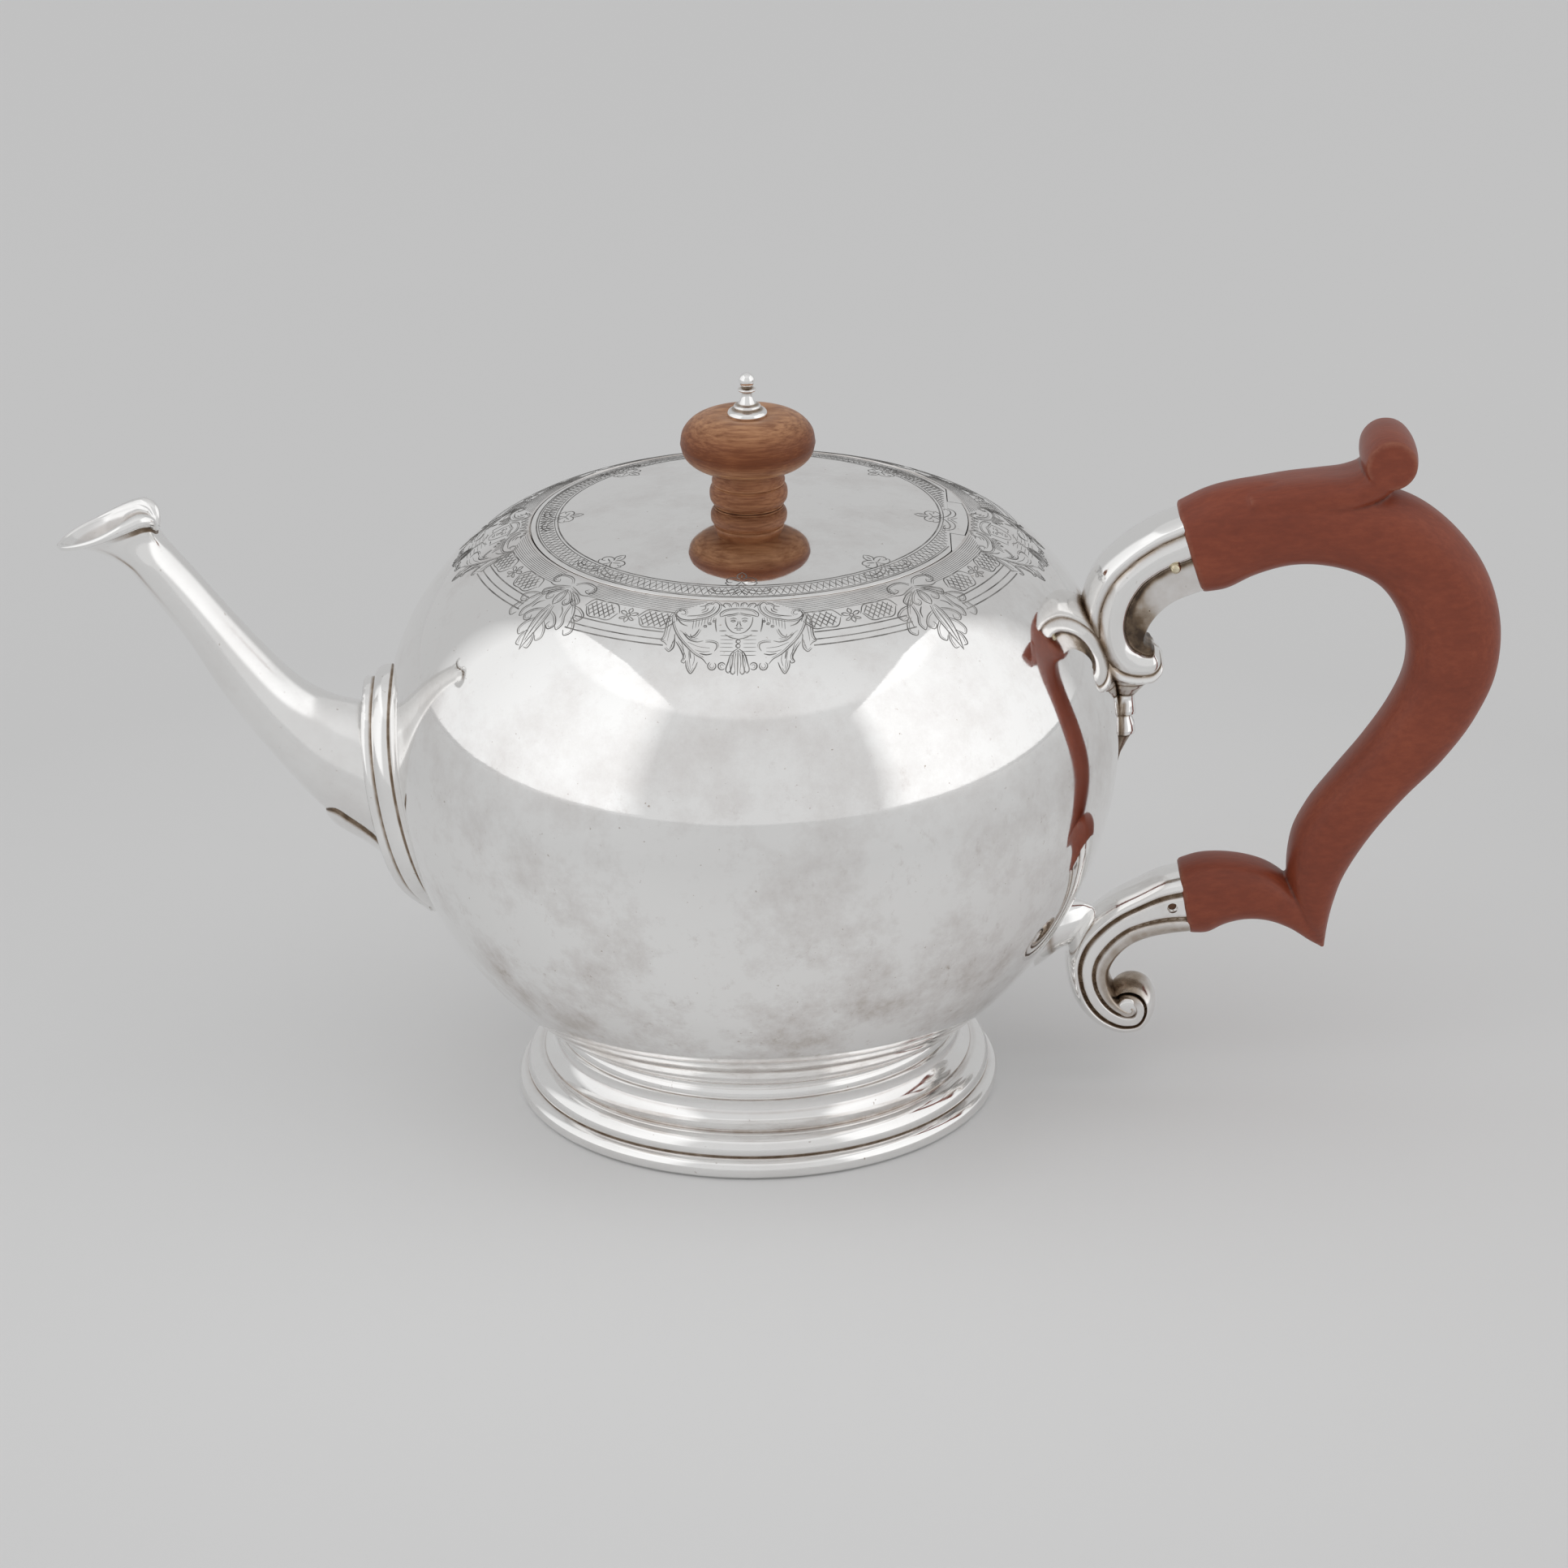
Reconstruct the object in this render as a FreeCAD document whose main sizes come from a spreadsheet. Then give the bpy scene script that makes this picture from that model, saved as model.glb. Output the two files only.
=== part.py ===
import FreeCAD, Part
import math
import os
import re

import Sketcher
from FreeCAD import Vector

# A silver teapot: a round raised body on a moulded foot, a cast spout, a flush hinged lid with a
# wooden knop, and a wooden scroll handle pinned into two cast sockets.
# Millimetres. +Z is up, the spout points to -X and the handle to +X.
# The origin is the middle of the foot's resting face.

DIMENSIONS = {
    # Body, raised from sheet: three arcs of one meridian
    "belly_radius": 57.6,
    "bowl_radius": 58.5,
    "bowl_lift": 2.7,
    "base_radius": 14.0,
    "upper_radius": 37.1,
    "shoulder_radius": 27.4,
    "shoulder_angle": 46.8,
    "opening_radius": 34.0,
    "wall": 1.2,
    # Strainer pierced through the body behind the spout
    "strainer_drop": 10.5,
    "strainer_hole": 1.2,
    "strainer_inner_ring": 4.6,
    "strainer_outer_ring": 8.6,
    # Foot: bead, ovolo and cove
    "foot_face_inner": 34.6,
    "foot_face_outer": 36.9,
    "foot_bead_radius": 38.5,
    "foot_bead_height": 3.4,
    "foot_bead_arc": 2.04,
    "foot_groove_radius": 37.0,
    "foot_ovolo_height": 6.6,
    "foot_cove_radius": 34.0,
    "foot_cove_hollow": 0.82,
    "foot_neck_outer": 31.6,
    "foot_neck_inner": 29.6,
    # Lid, its seat and its bezel
    "lid_rise": 3.2,
    "lid_sheet": 1.0,
    "lid_edge": 1.0,
    "lid_rib_radius": 6.5,
    "lid_rib_width": 1.2,
    "lid_rib_depth": 1.6,
    "lid_gap": 0.35,
    "seat_gap": 0.15,
    "seat_ledge": 3.0,
    "seat_flange": 2.2,
    "seat_depth": 1.9,
    "seat_hinge_gap": 2.0,
    "bezel_gap": 0.4,
    "bezel_wall": 1.0,
    "bezel_depth": 3.4,
    # Flush hinge on the handle side
    "hinge_inset": 2.0,
    "knuckle_radius": 0.85,
    "knuckle_half": 7.0,
    "knuckle_gap": 0.25,
    "tongue_gap": 0.5,
    "hinge_pin_radius": 0.35,
    "hinge_pin_half": 9.5,
    "running_clearance": 0.03,
    # Wooden knop and its silver bolt
    "knop_base_radius": 5.8,
    "knop_bulge_height": 3.2,
    "knop_collar_radius": 5.5,
    "knop_collar_height": 5.7,
    "knop_cap_radius": 10.6,
    "knop_cap_height": 9.9,
    "knop_height": 14.6,
    "bolt_radius": 1.0,
    "bolt_clearance": 0.1,
    "finial_flange": 3.05,
    "finial_lip": 0.6,
    "finial_neck": 0.78,
    "finial_height": 6.3,
    "finial_ball": 1.3,
    "washer_radius": 4.0,
    "washer_thickness": 0.6,
    "nut_radius": 3.2,
    "nut_thickness": 2.0,
    "bolt_tail": 0.6,
    # Spout and the reeded moulding round its root
    "spout_wall": 0.9,
    "reed_height": 22.0,
    "reed_width": 12.6,
    "reed_step": 1.6,
    "reed_low": 1.9,
    "reed_high": 3.5,
    "reed_drop": 10.8,
    # Handle, its tenons and pins
    "tenon_radius": 3.2,
    "tenon_length": 8.0,
    "tenon_clearance": 0.05,
    "tenon_root": 2.0,
    "socket_inset": 0.4,
    "thumb_radius": 4.2,
    "thumb_half": 6.2,
    "pin_radius": 0.8,
    "pin_setback": 3.0,
    "upper_pin_half": 5.3,
    "lower_pin_half": 4.7,
    # Bellflower drop on the body below the upper socket
    "drop_length": 14.0,
    "drop_cup_radius": 3.7,
    "drop_throat_radius": 2.5,
    "drop_tip_radius": 0.4,
    "drop_curve": 28.0,
    "drop_cup_height": 1.6,
    "drop_top_height": 6.6,
    "drop_sink": 0.7,
    # How far a cutting block or rod runs past what it cuts
    "cut_overrun": 2.0,
}

# Stations of the curved pieces in the plane of the spout and handle. Each one gives the ends of a
# section as (out, up) from the widest point of the belly, then the section's half width along Y.
SPOUT_STATIONS = [
    ((-8.5, 4.8), (-14.5, -32.2), 11.5),
    ((0.9, 4.2), (-4.6, -29.7), 10.5),
    ((4.4, 4.8), (2.9, -20.2), 9.0),
    ((8.4, 6.1), (10.4, -12.9), 7.8),
    ((13.4, 8.8), (18.4, -3.6), 6.6),
    ((19.8, 14.1), (25.9, 6.9), 5.6),
    ((25.9, 21.2), (32.2, 16.8), 5.0),
    ((30.7, 27.9), (37.4, 24.0), 4.9),
    ((34.1, 35.0), (49.9, 31.3), 5.2),
]
UPPER_JOINT = ((9.1, 35.4), (13.0, 21.9), 5.6)
LOWER_JOINT = ((9.9, -24.5), (11.6, -36.0), 5.0)
HANDLE_STATIONS = [
    UPPER_JOINT,
    ((17.4, 39.2), (19.9, 24.3), 5.8),
    ((28.4, 40.9), (28.9, 26.3), 6.0),
    ((40.2, 40.3), (36.4, 24.6), 6.0),
    ((51.9, 31.2), (41.7, 20.4), 6.0),
    ((58.7, 19.3), (44.2, 15.3), 6.0),
    ((59.0, 7.4), (44.6, 8.7), 5.9),
    ((53.9, -3.3), (41.3, 0.6), 5.7),
    ((46.4, -12.2), (35.4, -7.5), 5.5),
    ((39.7, -20.7), (28.8, -16.7), 5.2),
    ((35.4, -28.2), (26.3, -25.2), 4.9),
    ((33.8, -33.6), (28.9, -35.0), 4.2),
    ((33.3, -39.0), (32.0, -39.4), 2.4),
]
LOWER_ARM_STATIONS = [
    LOWER_JOINT,
    ((15.8, -23.3), (16.9, -34.6), 5.0),
    ((21.9, -24.2), (21.4, -33.9), 5.0),
    ((26.9, -26.7), (26.4, -35.2), 4.6),
    ((30.9, -31.2), (30.4, -37.4), 3.8),
]
UPPER_SOCKET_STATIONS = [
    ((4.2, 32.8), (8.9, 20.4), 5.2),
    ((-1.1, 29.0), (5.6, 17.8), 5.2),
    ((-6.1, 23.1), (4.0, 15.0), 5.1),
    ((-7.6, 14.5), (3.8, 12.4), 4.8),
    ((-8.0, 8.2), (3.3, 7.0), 4.4),
]
LOWER_SOCKET_STATIONS = [
    ((3.4, -27.3), (4.9, -36.9), 4.6),
    ((-1.1, -30.4), (1.6, -38.6), 4.5),
    ((-6.1, -34.2), (-0.4, -40.8), 4.4),
    ((-8.2, -41.7), (-1.2, -42.9), 4.2),
    ((-6.6, -48.0), (-0.7, -45.9), 4.1),
    ((-2.1, -52.6), (0.7, -48.0), 4.0),
]
LOWER_NECK_STATIONS = [
    ((-4.1, -31.7), (-4.6, -38.7), 4.0),
    ((-15.0, -30.0), (-15.0, -38.4), 4.4),
]
UPPER_CURL = ((3.2, 10.4), 3.6, 4.6)
LOWER_VOLUTE = ((1.8, -49.2), 4.5, 4.3)
THUMB_CENTRE = (40.9, 42.9)
SECTION_POINTS = 12
RUN_SPANS = 4
RIM_ROUNDING = 0.3
LIP_OVERRUN = 0.6

# Expressions that several pieces share
BELLY_HEIGHT = "(bowl_lift + bowl_radius)"
BOWL_CENTRE = "(belly_radius - bowl_radius)"
UPPER_CENTRE = "(belly_radius - upper_radius)"
TURN = "(shoulder_angle * 1deg)"
ARC_STEP = "(upper_radius - shoulder_radius)"
SHOULDER_X = f"({UPPER_CENTRE} + {ARC_STEP} * cos({TURN}))"
SHOULDER_Z = f"({BELLY_HEIGHT} + {ARC_STEP} * sin({TURN}))"
RIM_HEIGHT = f"({SHOULDER_Z} + sqrt(shoulder_radius^2 - (opening_radius - {SHOULDER_X})^2))"
DOME_RADIUS = "((opening_radius^2 + lid_rise^2) / (2 * lid_rise))"
APEX = f"({RIM_HEIGHT} + lid_rise)"
LID_RADIUS = "(opening_radius - lid_gap)"
HINGE_X = "(opening_radius - hinge_inset)"
CHORD_X = f"({HINGE_X} - knuckle_radius - knuckle_gap)"
SEAT_INNER = "(opening_radius - seat_ledge)"
SEAT_OUTER = "(opening_radius + seat_flange)"
BEZEL_OUTER = f"({SEAT_INNER} - bezel_gap)"
BOLT_HOLE = "(bolt_radius + bolt_clearance)"

doc = FreeCAD.newDocument("teapot")
sheet = doc.addObject("Spreadsheet::Sheet", "dims")
nodes = {}
ALIASES = re.compile(r"\b(" + "|".join(DIMENSIONS) + r")\b")


def fill_sheet():
    for row, (alias, size) in enumerate(DIMENSIONS.items(), start=1):
        sheet.set(f"A{row}", alias)
        sheet.set(f"B{row}", str(size))
        sheet.setAlias(f"B{row}", alias)
    doc.recompute()


def size_of(expression):
    """The value of an expression in the sheet's aliases."""
    return float(sheet.evalExpression(expression))


def bind(thing, path, expression):
    """Tie a property to the sheet."""
    thing.setExpression(path, ALIASES.sub(r"dims.\1", expression))


def node(thing, name):
    thing.Label = name
    nodes[name] = thing
    return thing


def dome_height(radius, sheet_depth="0"):
    """Expression for the height of the lid's dome, or of a layer below it, at a radius."""
    return f"({APEX} - {DOME_RADIUS} + sqrt(({DOME_RADIUS} - {sheet_depth})^2 - ({radius})^2))"


def bowl_height(radius, offset="0"):
    """Expression for the height of the bowl, or of a layer off it, below the belly at a radius."""
    reach = f"(bowl_radius + {offset})"
    return f"({BELLY_HEIGHT} - sqrt({reach}^2 - ({radius} - {BOWL_CENTRE})^2))"


def shoulder_height(radius, offset="0"):
    """Expression for the height of the shoulder, or of a layer off it, at a radius."""
    reach = f"(shoulder_radius + {offset})"
    return f"({SHOULDER_Z} + sqrt({reach}^2 - ({radius} - {SHOULDER_X})^2))"


HINGE_Z = f"({dome_height(HINGE_X)} - knuckle_radius)"
LID_UNDER = f"({dome_height(LID_RADIUS)} - lid_edge)"
SEAT_TOP = f"({LID_UNDER} - seat_gap)"


def body(name):
    return doc.addObject("PartDesign::Body", name)


def sketch_on(owner, role, name):
    """A sketch on one of the owner's origin planes."""
    sketch = owner.newObject("Sketcher::SketchObject", name)
    plane = next(f for f in owner.Origin.OriginFeatures if f.Role == role)
    sketch.AttachmentSupport = [(plane, "")]
    sketch.MapMode = "FlatFace"
    return sketch


def arc_between(start, end, radius, turn):
    """The short arc from start to end, counterclockwise for a turn of 1."""
    chord = end - start
    middle = (start + end) * 0.5
    rise = math.sqrt(max(radius**2 - (chord.Length / 2) ** 2, 0.0))
    side = Vector(-chord.y, chord.x, 0).normalize()
    centre = middle + side * rise * turn
    first, last = (start, end) if turn > 0 else (end, start)
    angles = [math.atan2(p.y - centre.y, p.x - centre.x) for p in (first, last)]
    if angles[1] < angles[0]:
        angles[1] += 2 * math.pi
    circle = Part.Circle(centre, Vector(0, 0, 1), radius)
    return Part.ArcOfCircle(circle, angles[0], angles[1])


def pin_point(sketch, geometry, vertex, place):
    """Hold a sketch vertex at a pair of expressions."""
    for kind, expression in zip(("DistanceX", "DistanceY"), place):
        rule = Sketcher.Constraint(kind, -1, 1, geometry, vertex, size_of(expression))
        index = sketch.addConstraint(rule)
        bind(sketch, f"Constraints[{index}]", expression)


def outline(sketch, start, edges):
    """A closed outline. An edge is (x, y) for a line or (x, y, radius, turn) for an arc."""
    place = start
    for edge in edges:
        begin, end = (Vector(size_of(p[0]), size_of(p[1]), 0) for p in (place, edge))
        if len(edge) == 2:
            geometry = sketch.addGeometry(Part.LineSegment(begin, end), False)
            first, last = 1, 2
        else:
            radius, turn = edge[2:]
            arc = arc_between(begin, end, size_of(radius), turn)
            geometry = sketch.addGeometry(arc, False)
            first, last = (1, 2) if turn > 0 else (2, 1)
            index = sketch.addConstraint(Sketcher.Constraint("Radius", geometry, size_of(radius)))
            bind(sketch, f"Constraints[{index}]", radius)
        if geometry > 0:
            joined = Sketcher.Constraint("Coincident", geometry - 1, previous, geometry, first)
            sketch.addConstraint(joined)
        else:
            opening = first
        if edge is edges[-1]:
            sketch.addConstraint(Sketcher.Constraint("Coincident", geometry, last, 0, opening))
        pin_point(sketch, geometry, first, place)
        place, previous = edge[:2], last


def revolved(name, start, edges):
    """A body turned about the Z axis from an outline in (radius, height)."""
    owner = body(name)
    sketch = sketch_on(owner, "XZ_Plane", f"{name}_profile")
    outline(sketch, start, edges)
    turned = owner.newObject("PartDesign::Revolution", f"{name}_turned")
    turned.Profile = sketch
    turned.ReferenceAxis = (sketch, ["V_Axis"])
    turned.Angle = 360.0
    sketch.Visibility = False
    return owner


def padded_along_y(name, start, edges, half):
    """A body made by padding an XZ outline both ways along Y to a half length."""
    owner = body(name)
    sketch = sketch_on(owner, "XZ_Plane", f"{name}_profile")
    outline(sketch, start, edges)
    pad = owner.newObject("PartDesign::Pad", f"{name}_pad")
    pad.Profile = sketch
    pad.Midplane = True
    bind(pad, "Length", f"2 * ({half})")
    return owner


def rod_along_y(name, radius, half, centre):
    """A cylinder along Y about a centre given in (x, z)."""
    rod = doc.addObject("Part::Cylinder", name)
    bind(rod, "Radius", radius)
    bind(rod, "Height", f"2 * ({half})")
    rod.Placement = FreeCAD.Placement(Vector(), FreeCAD.Rotation(Vector(1, 0, 0), -90))
    bind(rod, "Placement.Base.x", centre[0])
    bind(rod, "Placement.Base.y", f"-({half})")
    bind(rod, "Placement.Base.z", centre[1])
    return rod


def block(name, corner, sides):
    """A box from its low corner and its sides."""
    box = doc.addObject("Part::Box", name)
    for path, expression in zip(("Placement.Base.x", "Placement.Base.y", "Placement.Base.z"), corner):
        bind(box, path, expression)
    for path, expression in zip(("Length", "Width", "Height"), sides):
        bind(box, path, expression)
    return box


def cut(name, base, tool):
    result = doc.addObject("Part::Cut", name)
    result.Base = base
    result.Tool = tool
    return result


def common(name, base, tool):
    result = doc.addObject("Part::Common", name)
    result.Base = base
    result.Tool = tool
    return result


def bowl_form(name, offset="0"):
    """The body's outside as one filled form, or a layer off it."""
    bottom = bowl_height("base_radius", offset)
    turn_x = f"({UPPER_CENTRE} + (upper_radius + {offset}) * cos({TURN}))"
    turn_z = f"({BELLY_HEIGHT} + (upper_radius + {offset}) * sin({TURN}))"
    return revolved(name, ("0", bottom), [
        ("base_radius", bottom),
        (f"belly_radius + {offset}", BELLY_HEIGHT, f"bowl_radius + {offset}", 1),
        (turn_x, turn_z, f"upper_radius + {offset}", 1),
        ("opening_radius", shoulder_height("opening_radius", offset), f"shoulder_radius + {offset}", 1),
        ("0", shoulder_height("opening_radius", offset)),
        ("0", bottom),
    ])


def strainer(owner):
    """Rings of small holes through the wall, opening into the spout."""
    sketch = sketch_on(owner, "YZ_Plane", "strainer_holes")
    rings = (("0", 1), ("strainer_inner_ring", 6), ("strainer_outer_ring", 12))
    for ring, count in rings:
        for step in range(count):
            turn = f"{360 / count * step}deg"
            across = f"{ring} * cos({turn})"
            up = f"{BELLY_HEIGHT} - strainer_drop + {ring} * sin({turn})"
            centre = Vector(size_of(across), size_of(up), 0)
            radius = size_of("strainer_hole")
            hole = sketch.addGeometry(Part.Circle(centre, Vector(0, 0, 1), radius), False)
            index = sketch.addConstraint(Sketcher.Constraint("Radius", hole, radius))
            bind(sketch, f"Constraints[{index}]", "strainer_hole")
            pin_point(sketch, hole, 3, (across, up))
    pocket = owner.newObject("PartDesign::Pocket", "strainer_pocket")
    pocket.Profile = sketch
    pocket.Type = "ThroughAll"


def make_body_shell():
    inner = "(0 - wall)"
    inner_bottom = bowl_height("base_radius", inner)
    outer_bottom = bowl_height("base_radius")
    owner = revolved("body_form", ("0", outer_bottom), [
        ("base_radius", outer_bottom),
        ("belly_radius", BELLY_HEIGHT, "bowl_radius", 1),
        (f"{UPPER_CENTRE} + upper_radius * cos({TURN})",
         f"{BELLY_HEIGHT} + upper_radius * sin({TURN})", "upper_radius", 1),
        ("opening_radius", RIM_HEIGHT, "shoulder_radius", 1),
        ("opening_radius", shoulder_height("opening_radius", inner)),
        (f"{UPPER_CENTRE} + (upper_radius - wall) * cos({TURN})",
         f"{BELLY_HEIGHT} + (upper_radius - wall) * sin({TURN})", "shoulder_radius - wall", -1),
        ("belly_radius - wall", BELLY_HEIGHT, "upper_radius - wall", -1),
        ("base_radius", inner_bottom, "bowl_radius - wall", -1),
        ("0", inner_bottom),
        ("0", outer_bottom),
    ])
    doc.recompute()
    strainer(owner)
    node(owner, "body_shell")


def make_foot_ring():
    bead_middle = "(foot_bead_height / 2)"
    neck_top = bowl_height("foot_neck_outer")
    chord = f"((foot_cove_radius - foot_neck_outer)^2 + ({neck_top} - foot_ovolo_height)^2)"
    cove_arc = f"({chord} / (8 * foot_cove_hollow) + foot_cove_hollow / 2)"
    node(revolved("foot_form", ("foot_face_inner", "0"), [
        ("foot_face_outer", "0"),
        ("foot_bead_radius", bead_middle, "foot_bead_arc", 1),
        ("foot_groove_radius", "foot_bead_height", "foot_bead_arc", 1),
        ("foot_cove_radius", "foot_ovolo_height", "foot_bead_height", 1),
        ("foot_neck_outer", neck_top, cove_arc, -1),
        ("foot_neck_inner", bowl_height("foot_neck_inner"), "bowl_radius", -1),
        ("foot_face_inner", "0"),
    ]), "foot_ring")


def make_lid_seat():
    inner = "(0 - wall)"
    floor = f"{SEAT_TOP} - seat_depth"
    ring = revolved("seat_form", (SEAT_INNER, floor), [
        (SEAT_OUTER, floor),
        (SEAT_OUTER, shoulder_height(SEAT_OUTER, inner)),
        ("opening_radius", shoulder_height("opening_radius", inner), "shoulder_radius - wall", 1),
        ("opening_radius", SEAT_TOP),
        (SEAT_INNER, SEAT_TOP),
        (SEAT_INNER, floor),
    ])
    half = f"sqrt(opening_radius^2 - {CHORD_X}^2)"
    gap = block("seat_gap_block", (f"{CHORD_X} - seat_hinge_gap", f"-{half}", f"{floor} - cut_overrun"),
                (SEAT_OUTER, f"2 * {half}", "seat_depth + 2 * cut_overrun"))
    node(cut("seat_open", ring, gap), "lid_seat")


def dome_form(name, radius):
    """Everything under the lid's dome, down past the hinge, within a radius."""
    floor = f"({HINGE_Z} - knuckle_radius - cut_overrun)"
    return revolved(name, ("0", floor), [
        (radius, floor),
        (radius, dome_height(radius)),
        ("0", APEX, DOME_RADIUS, 1),
        ("0", floor),
    ])


def make_fixed_knuckles():
    """Two hinge blocks soldered to the rim, with blind holes for the pin."""
    top = f"({HINGE_Z} + 2 * knuckle_radius)"
    half = f"sqrt(opening_radius^2 - ({HINGE_X} - knuckle_radius)^2)"
    bar = padded_along_y("fixed_bar", (HINGE_X, f"{HINGE_Z} - knuckle_radius"), [
        ("opening_radius + cut_overrun", f"{HINGE_Z} - knuckle_radius"),
        ("opening_radius + cut_overrun", top),
        (HINGE_X, top),
        (HINGE_X, f"{HINGE_Z} + knuckle_radius"),
        (f"{HINGE_X} - knuckle_radius", HINGE_Z, "knuckle_radius", 1),
        (HINGE_X, f"{HINGE_Z} - knuckle_radius", "knuckle_radius", 1),
    ], half)
    flush = common("fixed_flush", bar, dome_form("rim_dome", "opening_radius"))
    bored = cut("fixed_bored", flush, rod_along_y(
        "fixed_bore", "hinge_pin_radius", "hinge_pin_half", (HINGE_X, HINGE_Z)))
    reach = "(opening_radius + cut_overrun)"
    inner = "(knuckle_half + knuckle_gap)"
    deep = ("0", f"{HINGE_Z} - knuckle_radius - 2 * cut_overrun")
    sides = (f"2 * {reach}", reach, "2 * knuckle_radius + 4 * cut_overrun")
    front = block("front_side", (deep[0], f"-{inner} - {reach}", deep[1]), sides)
    rear = block("rear_side", (deep[0], inner, deep[1]), sides)
    node(common("front_knuckle", bored, front), "hinge_knuckle_front")
    node(common("rear_knuckle", bored, rear), "hinge_knuckle_rear")


def make_lid_knuckle():
    """The lid's own hinge leaf, which turns on the pin and reaches out to the rim."""
    top = f"({HINGE_Z} + 2 * knuckle_radius)"
    bar = padded_along_y("lid_bar", (f"{HINGE_X} - knuckle_radius", HINGE_Z), [
        (HINGE_X, f"{HINGE_Z} - knuckle_radius", "knuckle_radius", 1),
        (f"{HINGE_X} + knuckle_radius", HINGE_Z, "knuckle_radius", 1),
        ("opening_radius + cut_overrun", HINGE_Z),
        ("opening_radius + cut_overrun", top),
        (CHORD_X, top),
        (CHORD_X, HINGE_Z),
        (f"{HINGE_X} - knuckle_radius", HINGE_Z),
    ], "knuckle_half")
    flush = common("lid_flush", bar, dome_form("tongue_dome", "opening_radius - tongue_gap"))
    bore = rod_along_y("lid_bore", "hinge_pin_radius + running_clearance",
                       "hinge_pin_half", (HINGE_X, HINGE_Z))
    node(cut("lid_bored", flush, bore), "lid_knuckle")


def make_hinge_pin():
    node(rod_along_y("pin_rod", "hinge_pin_radius", "hinge_pin_half", (HINGE_X, HINGE_Z)), "hinge_pin")


def make_lid_plate():
    """The domed lid, with a stiffening ring beneath it round the nut."""
    ledge = f"({BEZEL_OUTER} - bezel_wall)"
    under_arc = f"{DOME_RADIUS} - lid_sheet"
    rib_outer = "(lid_rib_radius + lid_rib_width)"
    rib_foot = f"({dome_height(rib_outer, 'lid_sheet')} - lid_rib_depth)"
    disc = revolved("lid_form", (BOLT_HOLE, dome_height(BOLT_HOLE, "lid_sheet")), [
        ("lid_rib_radius", dome_height("lid_rib_radius", "lid_sheet"), under_arc, -1),
        ("lid_rib_radius", rib_foot),
        (rib_outer, rib_foot),
        (rib_outer, dome_height(rib_outer, "lid_sheet")),
        (ledge, dome_height(ledge, "lid_sheet"), under_arc, -1),
        (ledge, LID_UNDER),
        (LID_RADIUS, LID_UNDER),
        (LID_RADIUS, dome_height(LID_RADIUS)),
        (BOLT_HOLE, dome_height(BOLT_HOLE), DOME_RADIUS, 1),
        (BOLT_HOLE, dome_height(BOLT_HOLE, "lid_sheet")),
    ])
    beyond = block("beyond_chord", (CHORD_X, "0 - opening_radius", f"{LID_UNDER} - cut_overrun"),
                   ("opening_radius", "2 * opening_radius", "lid_rise + lid_edge + 2 * cut_overrun"))
    node(cut("lid_cut", disc, beyond), "lid_plate")


def make_lid_bezel():
    inner = f"{BEZEL_OUTER} - bezel_wall"
    ring = revolved("bezel_form", (inner, f"{LID_UNDER} - bezel_depth"), [
        (BEZEL_OUTER, f"{LID_UNDER} - bezel_depth"),
        (BEZEL_OUTER, LID_UNDER),
        (inner, LID_UNDER),
        (inner, f"{LID_UNDER} - bezel_depth"),
    ])
    floor = f"{LID_UNDER} - bezel_depth - cut_overrun"
    clear = block("bezel_clear", (f"{CHORD_X} - bezel_depth", "0 - opening_radius", floor),
                  ("opening_radius", "2 * opening_radius", "bezel_depth + 2 * cut_overrun"))
    node(cut("bezel_cut", ring, clear), "lid_bezel")


def make_knop():
    """A mushroom knop on a turned base, bored for its bolt."""
    foot = dome_height("knop_base_radius")
    top = f"({APEX} + knop_height)"
    cap = f"({APEX} + knop_cap_height)"
    neck = f"({APEX} + knop_collar_height)"
    node(revolved("knop_form", (BOLT_HOLE, dome_height(BOLT_HOLE)), [
        ("knop_base_radius", foot, DOME_RADIUS, -1),
        ("knop_collar_radius", f"{APEX} + knop_bulge_height", "knop_bulge_height", 1),
        ("knop_collar_radius", neck),
        ("knop_cap_radius", cap, "knop_cap_radius", 1),
        ("finial_flange", top, "knop_cap_radius", 1),
        (BOLT_HOLE, top),
        (BOLT_HOLE, dome_height(BOLT_HOLE)),
    ]), "knop")


def make_finial():
    """The silver bolt through the knop: flange, skirt, neck and ball over a long shank."""
    seat = f"({APEX} + knop_height)"
    tail = f"({APEX} - lid_sheet - washer_thickness - nut_thickness - bolt_tail)"
    ball_middle = f"({seat} + finial_height - finial_ball)"
    ball_join = f"({ball_middle} - sqrt(finial_ball^2 - finial_neck^2))"
    node(revolved("finial_form", ("0", tail), [
        ("bolt_radius", tail),
        ("bolt_radius", seat),
        ("finial_flange", seat),
        ("finial_flange", f"{seat} + finial_lip"),
        ("finial_neck", f"{ball_middle} - finial_ball", "finial_flange", -1),
        ("finial_neck", ball_join),
        ("0", f"{seat} + finial_height", "finial_ball", 1),
        ("0", tail),
    ]), "knop_finial")


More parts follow.
